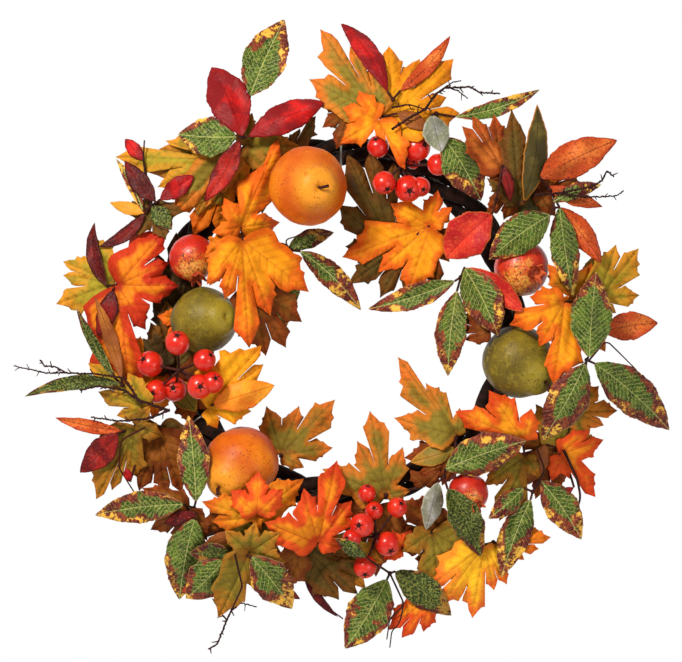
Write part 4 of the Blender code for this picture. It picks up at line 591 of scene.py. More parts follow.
class Graph:
    """Short hands for the nodes of one material."""

    def __init__(self, name):
        self.mat = bpy.data.materials.new(name)
        self.mat.use_nodes = True
        self.nodes = self.mat.node_tree.nodes
        self.links = self.mat.node_tree.links
        self.shader = self.nodes["Principled BSDF"]
        self.coords = self.nodes.new("ShaderNodeTexCoord").outputs["Object"]

    def put(self, socket, value):
        if isinstance(value, bpy.types.NodeSocket):
            self.links.new(value, socket)
        elif isinstance(value, str):
            socket.default_value = linear(value)
        else:
            socket.default_value = value

    def attr(self, name):
        node = self.nodes.new("ShaderNodeAttribute")
        node.attribute_name = name
        return node.outputs["Fac"]

    def noise(self, scale, detail=3.0, rough=0.55, distort=0.0):
        node = self.nodes.new("ShaderNodeTexNoise")
        self.put(node.inputs["Vector"], self.coords)
        self.put(node.inputs["Scale"], scale)
        self.put(node.inputs["Detail"], detail)
        self.put(node.inputs["Roughness"], rough)
        self.put(node.inputs["Distortion"], distort)
        return node.outputs["Fac"]

    def voronoi(self, scale, randomness=1.0):
        node = self.nodes.new("ShaderNodeTexVoronoi")
        self.put(node.inputs["Vector"], self.coords)
        self.put(node.inputs["Scale"], scale)
        self.put(node.inputs["Randomness"], randomness)
        return node.outputs["Distance"]

    def math(self, kind, a, b=0.0, clamp=False):
        node = self.nodes.new("ShaderNodeMath")
        node.operation = kind
        node.use_clamp = clamp
        self.put(node.inputs[0], a)
        self.put(node.inputs[1], b)
        return node.outputs[0]

    def step(self, value, low, high):
        """Smooth from 0 at low to 1 at high; low may be above high."""
        node = self.nodes.new("ShaderNodeMapRange")
        node.interpolation_type = "SMOOTHSTEP"
        self.put(node.inputs["Value"], value)
        if low < high:
            values = (low, high, 0.0, 1.0)
        else:
            values = (high, low, 1.0, 0.0)
        for key, v in zip(("From Min", "From Max", "To Min", "To Max"), values):
            self.put(node.inputs[key], v)
        return node.outputs["Result"]

    def mix(self, share, a, b, kind="MIX"):
        node = self.nodes.new("ShaderNodeMix")
        node.data_type = "RGBA"
        node.blend_type = kind
        self.put(node.inputs[0], share)
        self.put(node.inputs[6], a)
        self.put(node.inputs[7], b)
        return node.outputs[2]

    def bump(self, height, strength, distance=0.001):
        node = self.nodes.new("ShaderNodeBump")
        self.put(node.inputs["Strength"], strength)
        self.put(node.inputs["Distance"], distance)
        self.put(node.inputs["Height"], height)
        self.put(self.shader.inputs["Normal"], node.outputs["Normal"])

    def finish(self, colour, rough=0.6, spec=0.3, coat=0.0):
        self.put(self.shader.inputs["Base Color"], colour)
        self.put(self.shader.inputs["Roughness"], rough)
        self.put(self.shader.inputs["Specular IOR Level"], spec)
        if coat:
            self.put(self.shader.inputs["Coat Weight"], coat)
            self.put(self.shader.inputs["Coat Roughness"], 0.15)
        return self.mat


def maple_look(name, inner, outer, tip, vein, tip_share=0.8, spread_at=0.5, blotch=None):
    g = Graph(name)
    edge = g.step(g.attr("edge"), 0.0, 11.0)
    wide, fine = g.noise(38.0, 3.0), g.noise(330.0, 4.0, 0.65)
    inside = g.step(g.math("ADD", edge, g.math("MULTIPLY", g.math("SUBTRACT", wide, 0.5), 2.2)), spread_at - 0.35, spread_at + 0.35)
    colour = g.mix(inside, outer, inner)
    at_tip = g.step(g.math("ADD", g.attr("tt"), g.math("MULTIPLY", g.math("SUBTRACT", g.noise(60.0), 0.5), 0.9)), 0.55, 0.98)
    colour = g.mix(g.math("MULTIPLY", at_tip, tip_share), colour, tip)
    if blotch:
        colour = g.mix(g.math("MULTIPLY", g.step(g.noise(55.0, 5.0, 0.7, 0.6), 0.54, 0.66), 0.75), colour, blotch)
    colour = g.mix(g.math("MULTIPLY", g.step(fine, 0.45, 0.70), 0.30), colour, outer, "MULTIPLY")
    phase = g.math("ABSOLUTE", g.math("SUBTRACT", g.math("FRACT", g.attr("sv")), 0.5))
    side = g.math("MULTIPLY", g.step(phase, 0.06, 0.0), g.step(g.attr("edge"), 0.5, 4.0))
    main = g.step(g.attr("vein"), 0.80, 0.20)
    colour = g.mix(g.math("MULTIPLY", side, 0.30), colour, vein)
    colour = g.mix(g.math("MULTIPLY", main, 0.55), colour, vein)
    shade = g.math("MULTIPLY", g.step(phase, 0.5, 0.0), 0.10)
    colour = g.mix(shade, colour, vein)
    # Each leaf is a little lighter or darker, at random and in broad soft patches, and darkens towards its stalk.
    random_darkening = g.math("ADD", g.math("MULTIPLY", g.attr("rn"), 0.34), g.math("MULTIPLY", g.step(g.noise(26.0, 3.0), 0.42, 0.62), 0.26))
    colour = g.mix(random_darkening, colour, "CCB088", "MULTIPLY")
    colour = g.mix(g.math("MULTIPLY", g.step(g.attr("tt"), 0.30, 0.0), 0.45), colour, "B08A60", "MULTIPLY")
    height = g.math("ADD", g.math("MULTIPLY", g.step(phase, 0.0, 0.30), 0.6), g.math("ADD", g.math("MULTIPLY", g.step(g.attr("vein"), 0.0, 2.2), 0.9), g.math("MULTIPLY", fine, 0.25)))
    g.bump(height, 0.55, 0.0011)
    return g.finish(colour, 0.66, 0.12)


def laurel_look(name, green_a="1E3A10", green_b="527022", rim="8C3C26", cream="C8C47C", yellow="F2BC48", reach=0.0):
    g = Graph(name)
    across = g.math("ABSOLUTE", g.attr("qn"))
    along = g.attr("tt")
    wide, mid, fine = g.noise(40.0, 4.0, 0.6), g.noise(130.0, 4.0, 0.65), g.noise(620.0, 3.0, 0.7)
    place = g.math("ADD", g.math("MULTIPLY", across, 0.98), g.math("MULTIPLY", g.math("SUBTRACT", wide, 0.5), 2.6))
    place = g.math("ADD", place, g.math("MULTIPLY", g.math("MAXIMUM", g.math("SUBTRACT", along, 0.45), 0.0), 1.9))
    place = g.math("ADD", place, g.math("MULTIPLY", g.math("SUBTRACT", g.attr("rn"), 0.5), 0.55))
    place = g.math("ADD", place, g.math("MULTIPLY", g.math("SUBTRACT", mid, 0.5), 0.7))
    outer = g.step(place, 0.80 + reach, 0.95 + reach)
    green = g.mix(g.step(mid, 0.36, 0.64), green_a, green_b)
    green = g.mix(g.math("MULTIPLY", g.attr("rn"), 0.45), green, "263A0E")
    burgundy = g.mix(g.step(mid, 0.42, 0.62), "54161A", rim)
    colour = g.mix(outer, green, burgundy)
    # Feathered light side veins, broken by a fine grain.
    phase = g.math("ABSOLUTE", g.math("SUBTRACT", g.math("FRACT", g.math("ADD", g.attr("sv"), g.math("MULTIPLY", g.noise(260.0, 3.0, 0.6), 0.55))), 0.5))
    side = g.math("MULTIPLY", g.step(phase, 0.13, 0.0), g.step(fine, 0.36, 0.56))
    colour = g.mix(g.math("MULTIPLY", side, g.math("SUBTRACT", 0.62, g.math("MULTIPLY", outer, 0.45))), colour, cream)
    net = g.math("MULTIPLY", g.step(g.voronoi(560.0), 0.48, 0.72), 0.38)
    colour = g.mix(g.math("MULTIPLY", net, g.math("SUBTRACT", 1.0, outer)), colour, "A8A850")
    fleck = g.math("MULTIPLY", g.step(g.noise(78.0, 5.0, 0.75), 0.52, 0.58), g.step(g.math("ADD", place, g.math("MULTIPLY", along, 0.45)), 1.10, 1.35))
    colour = g.mix(g.math("MULTIPLY", fleck, 0.90), colour, yellow)
    colour = g.mix(g.math("MULTIPLY", g.step(g.noise(900.0, 2.0, 0.6), 0.62, 0.70), 0.30), colour, "E0CC90")
    colour = g.mix(g.math("MULTIPLY", g.step(g.attr("vein"), 0.55, 0.12), 0.58), colour, cream)
    lit = g.step(g.noise(55.0, 2.0), 0.42, 0.60)
    colour = g.mix(g.math("MULTIPLY", g.math("MULTIPLY", g.step(g.attr("edge"), 0.60, 0.15), 0.50), lit), colour, "D8B070")
    height = g.math("ADD", g.math("MULTIPLY", g.step(phase, 0.0, 0.4), 0.7), g.step(g.attr("vein"), 0.0, 1.8))
    g.bump(height, 0.35, 0.0008)
    return g.finish(colour, 0.55, 0.16)


def oval_look(name, light, dark, vein, speck=None, edge_colour=None, speck_share=0.5):
    g = Graph(name)
    wide, fine = g.noise(42.0, 4.0, 0.6), g.noise(420.0, 4.0, 0.7)
    patch = g.math("ADD", g.math("ADD", wide, g.math("MULTIPLY", g.math("ABSOLUTE", g.attr("qn")), 0.14)), g.math("MULTIPLY", g.math("SUBTRACT", g.attr("rn"), 0.5), 0.16))
    colour = g.mix(g.step(patch, 0.42, 0.66), light, dark)
    phase = g.math("ABSOLUTE", g.math("SUBTRACT", g.math("FRACT", g.attr("sv")), 0.5))
    colour = g.mix(g.math("MULTIPLY", g.step(phase, 0.09, 0.0), 0.22), colour, vein)
    # Painted shade: a little darker towards the side veins, where the leaf is grooved.
    colour = g.mix(g.math("MULTIPLY", g.step(phase, 0.5, 0.1), 0.10), colour, dark)
    colour = g.mix(g.math("MULTIPLY", g.step(g.attr("vein"), 0.7, 0.2), 0.7), colour, vein)
    colour = g.mix(g.math("MULTIPLY", g.step(g.math("ADD", g.attr("tt"), g.math("MULTIPLY", g.math("SUBTRACT", wide, 0.5), 1.2)), 0.42, 0.0), 0.75), colour, dark)
    if speck:
        colour = g.mix(g.math("MULTIPLY", g.step(fine, 0.53, 0.62), speck_share), colour, speck)
    if edge_colour:
        colour = g.mix(g.math("MULTIPLY", g.step(g.attr("edge"), 1.6, 0.3), 0.6), colour, edge_colour)
    g.bump(g.math("ADD", g.math("MULTIPLY", g.step(phase, 0.0, 0.45), 0.5), g.step(g.attr("vein"), 0.0, 2.0)), 0.28, 0.0008)
    return g.finish(colour, 0.52, 0.16)


LOOKS = {
    "orange": maple_look("maple_orange", "FAA61C", "EC761A", "E4501A", "D0701A", 0.65, 0.45),
    "yellow": maple_look("maple_yellow", "FAB41E", "F09A1C", "E8841E", "D08A1C", 0.55, 0.40),
    "yelloworange": maple_look("maple_yellow_orange", "E8A022", "EC861E", "E4681C", "B8741A", 0.75, 0.50),
    "yelloworangered": maple_look("maple_amber_red", "F8A620", "E8641E", "D83E1A", "C8641C", 0.85, 0.52),
    "yellowred": maple_look("maple_gold_red", "F7BC26", "F2932A", "E4502A", "D98820", 0.80, 0.45),
    "olive": maple_look("maple_olive", "8E7C28", "A87426", "D88424", "5E5018", 0.75, 0.38, "726820"),
    "yellowolive": maple_look("maple_yellow_olive", "A8962A", "C8912A", "E8962A", "7C6E22", 0.75, 0.40, "8C8428"),
    "oliveorange": maple_look("maple_olive_orange", "8C7C2C", "CC7E28", "E8782A", "6A5A20", 0.90, 0.42, "9A6A26"),
    "darkolive": maple_look("maple_dark_olive", "665220", "6E4418", "8C5A1E", "3E3414", 0.55, 0.40, "4A441A"),
    "dark": maple_look("maple_shadow", "4A3C1A", "3E2A14", "5E4A20", "2E2412", 0.50, 0.40),
    "brown": maple_look("maple_brown", "94561C", "7C3A14", "B0521C", "5E3212", 0.60, 0.45, "74581C"),
    "redorange": maple_look("maple_red_orange", "F2941E", "E0521E", "CC3A1A", "C2501A", 0.75, 0.58),
    "redbright": maple_look("maple_bright_red", "F06A28", "E8402A", "D8301E", "C8401E", 0.60, 0.62),
    "laurel": laurel_look("laurel_green", reach=-0.07),
    "darkgreen": laurel_look("laurel_dark", "121E08", "33461A", "4E1C16", "6E7238", "A87A2C", 0.12),
    "red": oval_look("oval_red", "CE1C18", "7E1014", "6A0C12", None, "7A1016"),
    "burgundyred": oval_look("oval_burgundy_red", "AE2018", "601014", "3E0A0C", "D0583A", "3E0A0C", 0.28),
    "burgundy": oval_look("oval_burgundy", "8A1A18", "460C0E", "2E080A", "A8482C", "300808", 0.22),
    "redpink": oval_look("oval_red_pink", "E0402C", "B81C22", "8C141A", "EC8A48", "C86A30", 0.30),
    "copper": maple_look("maple_copper", "C06A28", "9A4418", "C4561E", "6E3210", 0.65, 0.42, "A08028"),
    "scarlet": maple_look("maple_scarlet", "EE8A1C", "C83A18", "B0221A", "A83A16", 0.80, 0.78),
    "rust": oval_look("oval_rust", "E67C36", "C04A1E", "7A2210", "5E200E", "A02C14", 0.75),
    "grey": oval_look("oval_grey", "A8A2A0", "7A7C64", "5E5A50", "C8C4C8", "B8B29A", 0.35),
}
# Plain one-blade leaves that carry a maple colour.
for key, (light, dark, vein) in {
    "yellow": ("F2B82C", "D8902A", "B8801E"), "brown": ("B8702A", "8A4A20", "6A3A18"), "olive": ("8A7C2C", "6A5A20", "4E4618"),
    "yellowolive": ("C2A230", "94822A", "7C6A20"), "oliveorange": ("B07A2A", "84702A", "5E4E1C"), "darkolive": ("6A5A26", "463C1A", "322C14"),
    "orange": ("F8A02A", "E8701E", "C8601A"), "dark": ("4A3C1A", "2E2412", "1E180C"), "yelloworange": ("EEA02A", "DE7A22", "B8641A"),
}.items():
    LOOKS["blade_" + key] = oval_look("blade_" + key, light, dark, vein, None, "D8842A" if "olive" in key else None)


def plain_look(name, a, b, scale=60.0, rough=0.7, spec=0.2, fine=400.0, strength=0.4, coat=0.0):
    g = Graph(name)
    colour = g.mix(g.step(g.noise(scale, 4.0, 0.6), 0.35, 0.65), a, b)
    g.bump(g.noise(fine, 4.0, 0.7), strength, 0.0008)
    return g.finish(colour, rough, spec, coat)


BACKS = {
    "maple": plain_look("maple_back", "B08A48", "9A7236", 50.0, 0.75, 0.15),
    "green": plain_look("laurel_back", "7E8A60", "65744C", 50.0, 0.75, 0.15),
    "red": plain_look("red_back", "9A4A40", "7E342E", 50.0, 0.75, 0.15),
}


def back_of(look, kind):
    if look in ("laurel", "darkgreen", "grey"):
        return BACKS["green"]
    if look in ("red", "burgundyred", "burgundy", "redpink", "rust"):
        return BACKS["red"]
    return BACKS["maple"]


def pear_look(name, body, patch, shoulder_shade, neck, low, speck, mottle=None):
    g = Graph(name)
    tall = g.math("ADD", g.attr("tt"), g.math("MULTIPLY", g.math("SUBTRACT", g.noise(45.0, 3.0), 0.5), 0.35))
    colour = g.mix(g.step(g.noise(24.0, 4.0, 0.6), 0.38, 0.64), body, patch)
    # Painted shade: darker in a ring round the shoulder below the neck.
    colour = g.mix(g.math("MULTIPLY", g.step(tall, 0.20, 0.72), 0.45), colour, shoulder_shade)
    # The neck turns yellow, partly its own colour and partly a painted highlight.
    colour = g.mix(g.math("MULTIPLY", g.step(tall, 0.55, 1.15), 0.85), colour, neck)
    # Darker towards the end away from the neck, partly painted shade where that end shows as the rim; the same colour
    # also lays real streaks below.
    colour = g.mix(g.math("MULTIPLY", g.step(tall, 0.02, -0.55), 0.80), colour, low)
    if mottle:
        colour = g.mix(g.math("MULTIPLY", g.step(g.noise(150.0, 5.0, 0.8, 0.3), 0.50, 0.62), 0.55), colour, mottle)
    dots = g.math("MULTIPLY", g.step(g.voronoi(330.0), 0.24, 0.12), g.step(g.noise(80.0, 3.0), 0.42, 0.52))
    colour = g.mix(g.math("MULTIPLY", dots, 0.85), colour, speck)
    small = g.step(g.voronoi(700.0), 0.24, 0.10)
    colour = g.mix(g.math("MULTIPLY", small, 0.50), colour, speck)
    streak = g.math("MULTIPLY", g.step(g.noise(120.0, 5.0, 0.75, 1.2), 0.52, 0.66), 0.35)
    colour = g.mix(streak, colour, low)
    g.bump(g.math("ADD", g.noise(260.0, 4.0, 0.7), g.math("MULTIPLY", dots, -0.8)), 0.25, 0.0008)
    return g.finish(colour, 0.46, 0.22)


# Skin colours: body, patch, painted shoulder shade, neck yellow with painted highlight, far end with painted shade and
# streaks, speck.
PEAR_ORANGE = pear_look("pear_orange_skin", "CC5A0C", "E07A12", "B4460A", "EC9A28", "A8340A", "461608")
PEAR_GREEN = pear_look("pear_green_skin", "645418", "7E6A1E", "5A4C18", "988424", "3E3212", "1E180A", "9A8626")


def pomegranate_look():
    g = Graph("pomegranate_skin")
    colour = g.mix(g.step(g.noise(30.0, 4.0, 0.6), 0.36, 0.62), "A40C0C", "C82410")
    gilt = g.math("ADD", g.attr("tt"), g.math("MULTIPLY", g.math("SUBTRACT", g.noise(60.0, 4.0, 0.7), 0.5), 0.75))
    grain = g.step(g.noise(420.0, 4.0, 0.8), 0.38, 0.54)
    colour = g.mix(g.math("MULTIPLY", g.step(gilt, 0.66, 0.95), 0.45), colour, "DC5216")
    colour = g.mix(g.math("MULTIPLY", g.math("MULTIPLY", g.step(gilt, 0.80, 1.04), grain), 0.90), colour, "F0B84E")
    colour = g.mix(g.math("MULTIPLY", g.math("MULTIPLY", g.step(gilt, 0.66, 0.90), g.step(g.noise(300.0, 3.0, 0.8), 0.56, 0.61)), 0.95), colour, "240606")
    colour = g.mix(g.math("MULTIPLY", g.step(g.noise(260.0, 4.0, 0.8), 0.60, 0.66), 0.65), colour, "3A0A0C")
    g.bump(g.noise(320.0, 5.0, 0.75), 0.40, 0.0009)
    return g.finish(colour, 0.36, 0.42, 0.12)


POMEGRANATE_SKIN = pomegranate_look()


def berry_look():
    g = Graph("berry_lacquer")
    colour = g.mix(g.step(g.noise(90.0, 3.0), 0.35, 0.65), "C61408", "DC2C12")
    colour = g.mix(g.math("MULTIPLY", g.step(g.noise(500.0, 3.0, 0.7), 0.56, 0.66), 0.35), colour, "9A0E0E")
    return g.finish(colour, 0.30, 0.45, 0.15)


BERRY_SKIN = berry_look()
CALYX = plain_look("berry_calyx", "3A1510", "1E0A08", 400.0, 0.8)
STEM = plain_look("stem_wrap", "4A1E16", "2E100C", 120.0, 0.75, 0.2, 900.0, 0.6)
TWIG = plain_look("twig_bark", "3A1612", "22100C", 160.0, 0.75, 0.2, 800.0, 0.8)
VINE = plain_look("vine_bark", "2C1812", "140B08", 130.0, 0.85, 0.15, 420.0, 1.0)
CROWN = plain_look("pomegranate_crown", "C85A2A", "7A1E16", 300.0, 0.6)
GREENSTEM = plain_look("green_stem", "5E5A28", "3A3A1C", 100.0, 0.7)


def wire_look():
    g = Graph("galvanised_wire")
    g.put(g.shader.inputs["Metallic"], 0.9)
    return g.finish(g.mix(g.noise(300.0), "7C7C78", "A4A49E"), 0.42, 0.5)


WIRE = wire_look()


# ---------------------------------------------------------------- meshes
def build(name, points, faces, materials, node=None, body="wreath", smooth=True, index=None, sharp=None, attributes=None):
    mesh = bpy.data.meshes.new(name)
    mesh.from_pydata([tuple(p) for p in points], [], [tuple(int(i) for i in f) for f in faces])
    for material in materials:
        mesh.materials.append(material)
    if index is not None:
        mesh.polygons.foreach_set("material_index", np.asarray(index, np.int32))
    mesh.polygons.foreach_set("use_smooth", np.full(len(mesh.polygons), smooth))
    for key, values in (attributes or {}).items():
        layer = mesh.attributes.new(key, "FLOAT", "POINT")
        layer.data.foreach_set("value", np.asarray(values, np.float32))
    mesh.update()
    obj = bpy.data.objects.new(name, mesh)
    bpy.context.scene.collection.objects.link(obj)
    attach(obj, body)
    if node:
        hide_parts(node)
    return obj


class Parts:
    """Collects shapes that go into one object."""

    def __init__(self):
        self.points, self.faces, self.index, self.sharp = [], [], [], []
        self.materials, self.attributes, self.count = [], {k: [] for k in ("tt", "qn", "edge", "vein", "sv", "rn")}, 0

    def slot_of(self, material):
        if material not in self.materials:
            self.materials.append(material)
        return self.materials.index(material)

    def add(self, points, faces, material, values=None, index=None):
        points = np.asarray(points, float)
        self.points.append(points)
        self.faces += [tuple(int(i) + self.count for i in f) for f in faces]
        if index is None:
            self.index += [self.slot_of(material)] * len(faces)
        else:
            self.index += index
        for key in self.attributes:
            got = None if values is None else values.get(key)
            self.attributes[key].append(np.zeros(len(points)) if got is None else np.asarray(got, float))
        self.count += len(points)

    def done(self, name, node, slot, body="wreath"):
        return build(name, np.concatenate(self.points), self.faces, self.materials, node, body, True, self.index,
                     attributes={k: np.concatenate(v) for k, v in self.attributes.items()})


def tube(path, radii, sides=8, closed=False, squeeze=None):
    """Points and faces of a round tube along world points."""
    path = np.asarray(path, float)
    n = len(path)
    radii = np.broadcast_to(np.asarray(radii, float), (n,))
    if closed:
        ahead = np.roll(path, -1, 0) - np.roll(path, 1, 0)
    else:
        ahead = np.gradient(path, axis=0)
    ahead /= np.maximum(np.linalg.norm(ahead, axis=1), 1e-12)[:, None]
    up = np.array([0.0, -1.0, 0.0]) if abs(ahead[0] @ np.array([0.0, -1.0, 0.0])) < 0.9 else np.array([1.0, 0.0, 0.0])
    frames = []
    for k in range(n):
        up = up - ahead[k] * (up @ ahead[k])
        up /= max(np.linalg.norm(up), 1e-9)
        frames.append((up, np.cross(ahead[k], up)))
    points = []
    for k in range(n):
        for s in range(sides):
            a = math.tau * s / sides
            r = radii[k] * (1.0 if squeeze is None else squeeze[k, s])
            points.append(path[k] + (frames[k][0] * math.cos(a) + frames[k][1] * math.sin(a)) * r)
    faces = []
    for k in range(n if closed else n - 1):
        for s in range(sides):
            a, b = k * sides + s, k * sides + (s + 1) % sides
            c, d = ((k + 1) % n) * sides + (s + 1) % sides, ((k + 1) % n) * sides + s
            faces.append((a, b, c, d))
    if not closed:
        faces.append(tuple(range(sides))[::-1])
        faces.append(tuple((n - 1) * sides + s for s in range(sides)))
    return np.array(points), faces


def smooth_line(path, times=2):
    path = np.asarray(path, float)
    for _ in range(times):
        cut = [path[0]]
        for a, b in zip(path[:-1], path[1:]):
            cut += [a * 0.75 + b * 0.25, a * 0.25 + b * 0.75]
        path = np.array(cut + [path[-1]])
    return path


def turned(profile, steps, rotation, centre, bend=None):
    """A turned body as points and faces in the world, from (radius, height) pairs; bend(r, h, a) gives a new (r, h)."""
    points, faces = [], []
    for k, (r, h) in enumerate(profile):
        for s in range(steps):
            a = math.tau * s / steps
            rr, hh = (r, h) if bend is None else bend(r, h, a)
            v = rotation @ Vector((rr * math.cos(a), rr * math.sin(a), hh))
            points.append((centre[0] + v.x, RING_D - centre[1] + v.y, centre[2] - HOOK + v.z))
    for k in range(len(profile) - 1):
        for s in range(steps):
            t = (s + 1) % steps
            faces.append((k * steps + s, k * steps + t, (k + 1) * steps + t, (k + 1) * steps + s))
    faces.append(tuple(range(steps))[::-1])
    faces.append(tuple((len(profile) - 1) * steps + s for s in range(steps)))
    return points, faces


def aim(direction):
    way = Vector((direction[0], -direction[1], direction[2])).normalized()
    return way.to_track_quat("Z", "Y").to_matrix().to_4x4()


def fine_profile(profile, each=6):
    p = np.array([profile[0]] + list(profile) + [profile[-1]], float)
    out = []
    for k in range(1, len(p) - 2):
        for t in np.arange(each) / each:
            a = 2 * p[k] + (p[k + 1] - p[k - 1]) * t + (2 * p[k - 1] - 5 * p[k] + 4 * p[k + 1] - p[k + 2]) * t * t
            b = (-p[k - 1] + 3 * p[k] - 3 * p[k + 1] + p[k + 2]) * t ** 3
            out.append((a + b) / 2)
    out.append(p[-2])
    out = np.array(out)
    out[:, 0] = np.maximum(out[:, 0], 1e-5)
    return [tuple(v) for v in out]


def put_points(points):
    """Adds world points to the field."""
    points = np.asarray(points, float)
    put(np.stack([points[:, 0], points[:, 2] + HOOK], axis=1), RING_D - points[:, 1])


# ---------------------------------------------------------------- vine ring, wires and hanger
def ring_point(angle, out, forward):
    radius = RING_R + out
    return (radius * math.cos(angle), RING_D + forward, radius * math.sin(angle))


count, sides = ((520, 16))
for strand in range(3):
    path = []
    for k in range(count):
        angle = math.tau * k / count
        turn = STRAND_TWISTS * angle + math.tau * strand / 3
        path.append(ring_point(angle, STRAND_ORBIT * math.cos(turn), STRAND_ORBIT * math.sin(turn)))
    put_tube(np.array(path + path[:1]), STRAND_R)
    squeeze = np.ones((count, sides))
    for k in range(count):
        angle = math.tau * k / count
        for s in range(sides):
            a = math.tau * s / sides
            along = Vector((math.cos(angle) * 9, math.sin(angle) * 9, strand * 7.0))
            around = Vector((math.cos(a) * 1.6, math.sin(a) * 1.6, 0.0))
            squeeze[k, s] = 0.965 - 0.10 * abs(noise.noise(along * 1.3 + around * 2.2)) - 0.05 * abs(noise.noise(along * 9 + around * 3.0))
    points, faces = tube(world(path), STRAND_R, sides, True, squeeze)
    build(f"vine_{strand + 1}", points, faces, [VINE], f"vine_strand_{strand + 1}")


def wire_piece(name, node, path, radius, body="wreath"):
    points, faces = tube(world(path), radius, 10, True)
    build(name, points, faces, [WIRE], node, body)
    put_tube(np.array(list(path) + [path[0]]), radius)


wire_piece("frame_wire_v", "frame_wire", [ring_point(math.tau * k / 180, 0, 0) for k in range(180)], FRAME_WIRE_R)
for name, degrees, radius, wire_r, up in (("tie_wire_lower_left", 214, TIE_RING, TIE_R, 0.0), ("tie_wire_lower_right", 322, TIE_RING, TIE_R, 0.0),
                                          ("hanging_eye", 90, EYE_RING, EYE_R, EYE_UP)):
    angle = math.radians(degrees)
    wire_piece(name + "_v", name, [ring_point(angle, radius * math.cos(math.tau * k / 48) + up, radius * math.sin(math.tau * k / 48)) for k in range(48)], wire_r)
half = LOOP_W / 2
loop = [(x, RING_D, PIN_Z + z) for x, z in ((-half, 0.003), (-half + 0.0008, 0.0008), (-half + 0.003, 0), (0, 0), (half - 0.003, 0), (half - 0.0008, 0.0008), (half, 0.003), (half, 0.012), (half, LOOP_H - half))]
loop += [(half * math.cos(math.pi * k / 20), RING_D, PIN_Z + LOOP_H - half + half * math.sin(math.pi * k / 20)) for k in range(1, 20)]
loop += [(-half, RING_D, PIN_Z + LOOP_H - half), (-half, RING_D, PIN_Z + 0.012)]
wire_piece("hanging_loop_v", "hanging_loop", loop, LOOP_R, "hanger")


# ---------------------------------------------------------------- leaves
def inside(points, outline):
    x, y = points[:, 0][:, None], points[:, 1][:, None]
    a, b = outline, np.roll(outline, -1, 0)
    cross = ((a[:, 1] > y) != (b[:, 1] > y)) & (x < (b[:, 0] - a[:, 0]) * (y - a[:, 1]) / (b[:, 1] - a[:, 1] + 1e-15) + a[:, 0])
    return cross.sum(1) % 2 == 1


def resample(line, step, closed=False):
    pts = [np.asarray(p, float) for p in line]
    if closed:
        pts = pts + [pts[0]]
    out = [pts[0]]
    for a, b in zip(pts[:-1], pts[1:]):
        n = max(1, int(round(np.linalg.norm(b - a) / step)))
        out += [a + (b - a) * k / n for k in range(1, n + 1)]
    return np.array(out[:-1] if closed else out)


def lobed_outline(base, tips, width, rng):
    """Outline of a lobed, toothed leaf and its lobes in order."""
    ways = [t - base for t in tips]
    lead = np.sum([w / np.linalg.norm(w) for w in ways], axis=0)
    turn = math.atan2(lead[1], lead[0])
    ways.sort(key=lambda w: (math.atan2(w[1], w[0]) - turn + math.pi) % math.tau)
    angles = [(math.atan2(w[1], w[0]) - turn + math.pi) % math.tau for w in ways]
    out = [base]
    for i, way in enumerate(ways):
        length = np.linalg.norm(way)
        along = way / length
        left = np.array([-along[1], along[0]])
        w = width * (1.14 if length > 40 * U else 1.25)
        for sign in (-1, 1):
            j = i + sign
            outer = j < 0 or j >= len(ways)
            half_gap = 1.2 if outer else max(0.06, abs(angles[j] - angles[i]) / 2)
            limit = math.tan(min(half_gap, 1.2))
            if length > 34 * U:
                rows = [(0.56, 0.215), (0.62, 0.230), (0.675, 0.245), (0.690, 0.185), (0.745, 0.140), (0.805, 0.135), (0.825, 0.090), (0.90, 0.050), (0.96, 0.018)]
            elif length > 20 * U:
                rows = [(0.54, 0.22), (0.65, 0.235), (0.68, 0.170), (0.79, 0.115), (0.90, 0.055)]
            else:
                rows = [(0.52, 0.23), (0.72, 0.16), (0.88, 0.07)]
            if outer:
                rows = [(0.02, 0.08), (0.07, 0.18), (0.15, 0.245), (0.24, 0.265), (0.34, 0.235), (0.45, 0.205)] + rows
            shift = rng.uniform(-0.03, 0.03)
            side = []
            for s, q in rows:
                q = min(q * w * rng.uniform(0.88, 1.14), (s + 0.02) * limit * (1.0 if outer else 0.93))
                side.append(base + along * (min(s + shift * (0.3 < s < 0.9), 0.97)) * length + left * sign * q * length)
            if sign < 0:
                if i > 0:
                    before = ways[i - 1] / np.linalg.norm(ways[i - 1])
                    middle = along + before
                    size = np.linalg.norm(middle)
                    if size > 0.3:
                        out.append(base + middle / size * 0.59 * min(length, np.linalg.norm(ways[i - 1])) * max(0.5, size / 2))
                out += side
                out.append(base + way)
            else:
                out += side[::-1]
    return np.array(out), ways


def oval_width(t, look):
    if look in ("red", "redpink"):
        return np.sin(np.pi * t ** 1.05) ** 0.80
    return np.sin(np.pi * t ** 0.90) ** 0.88


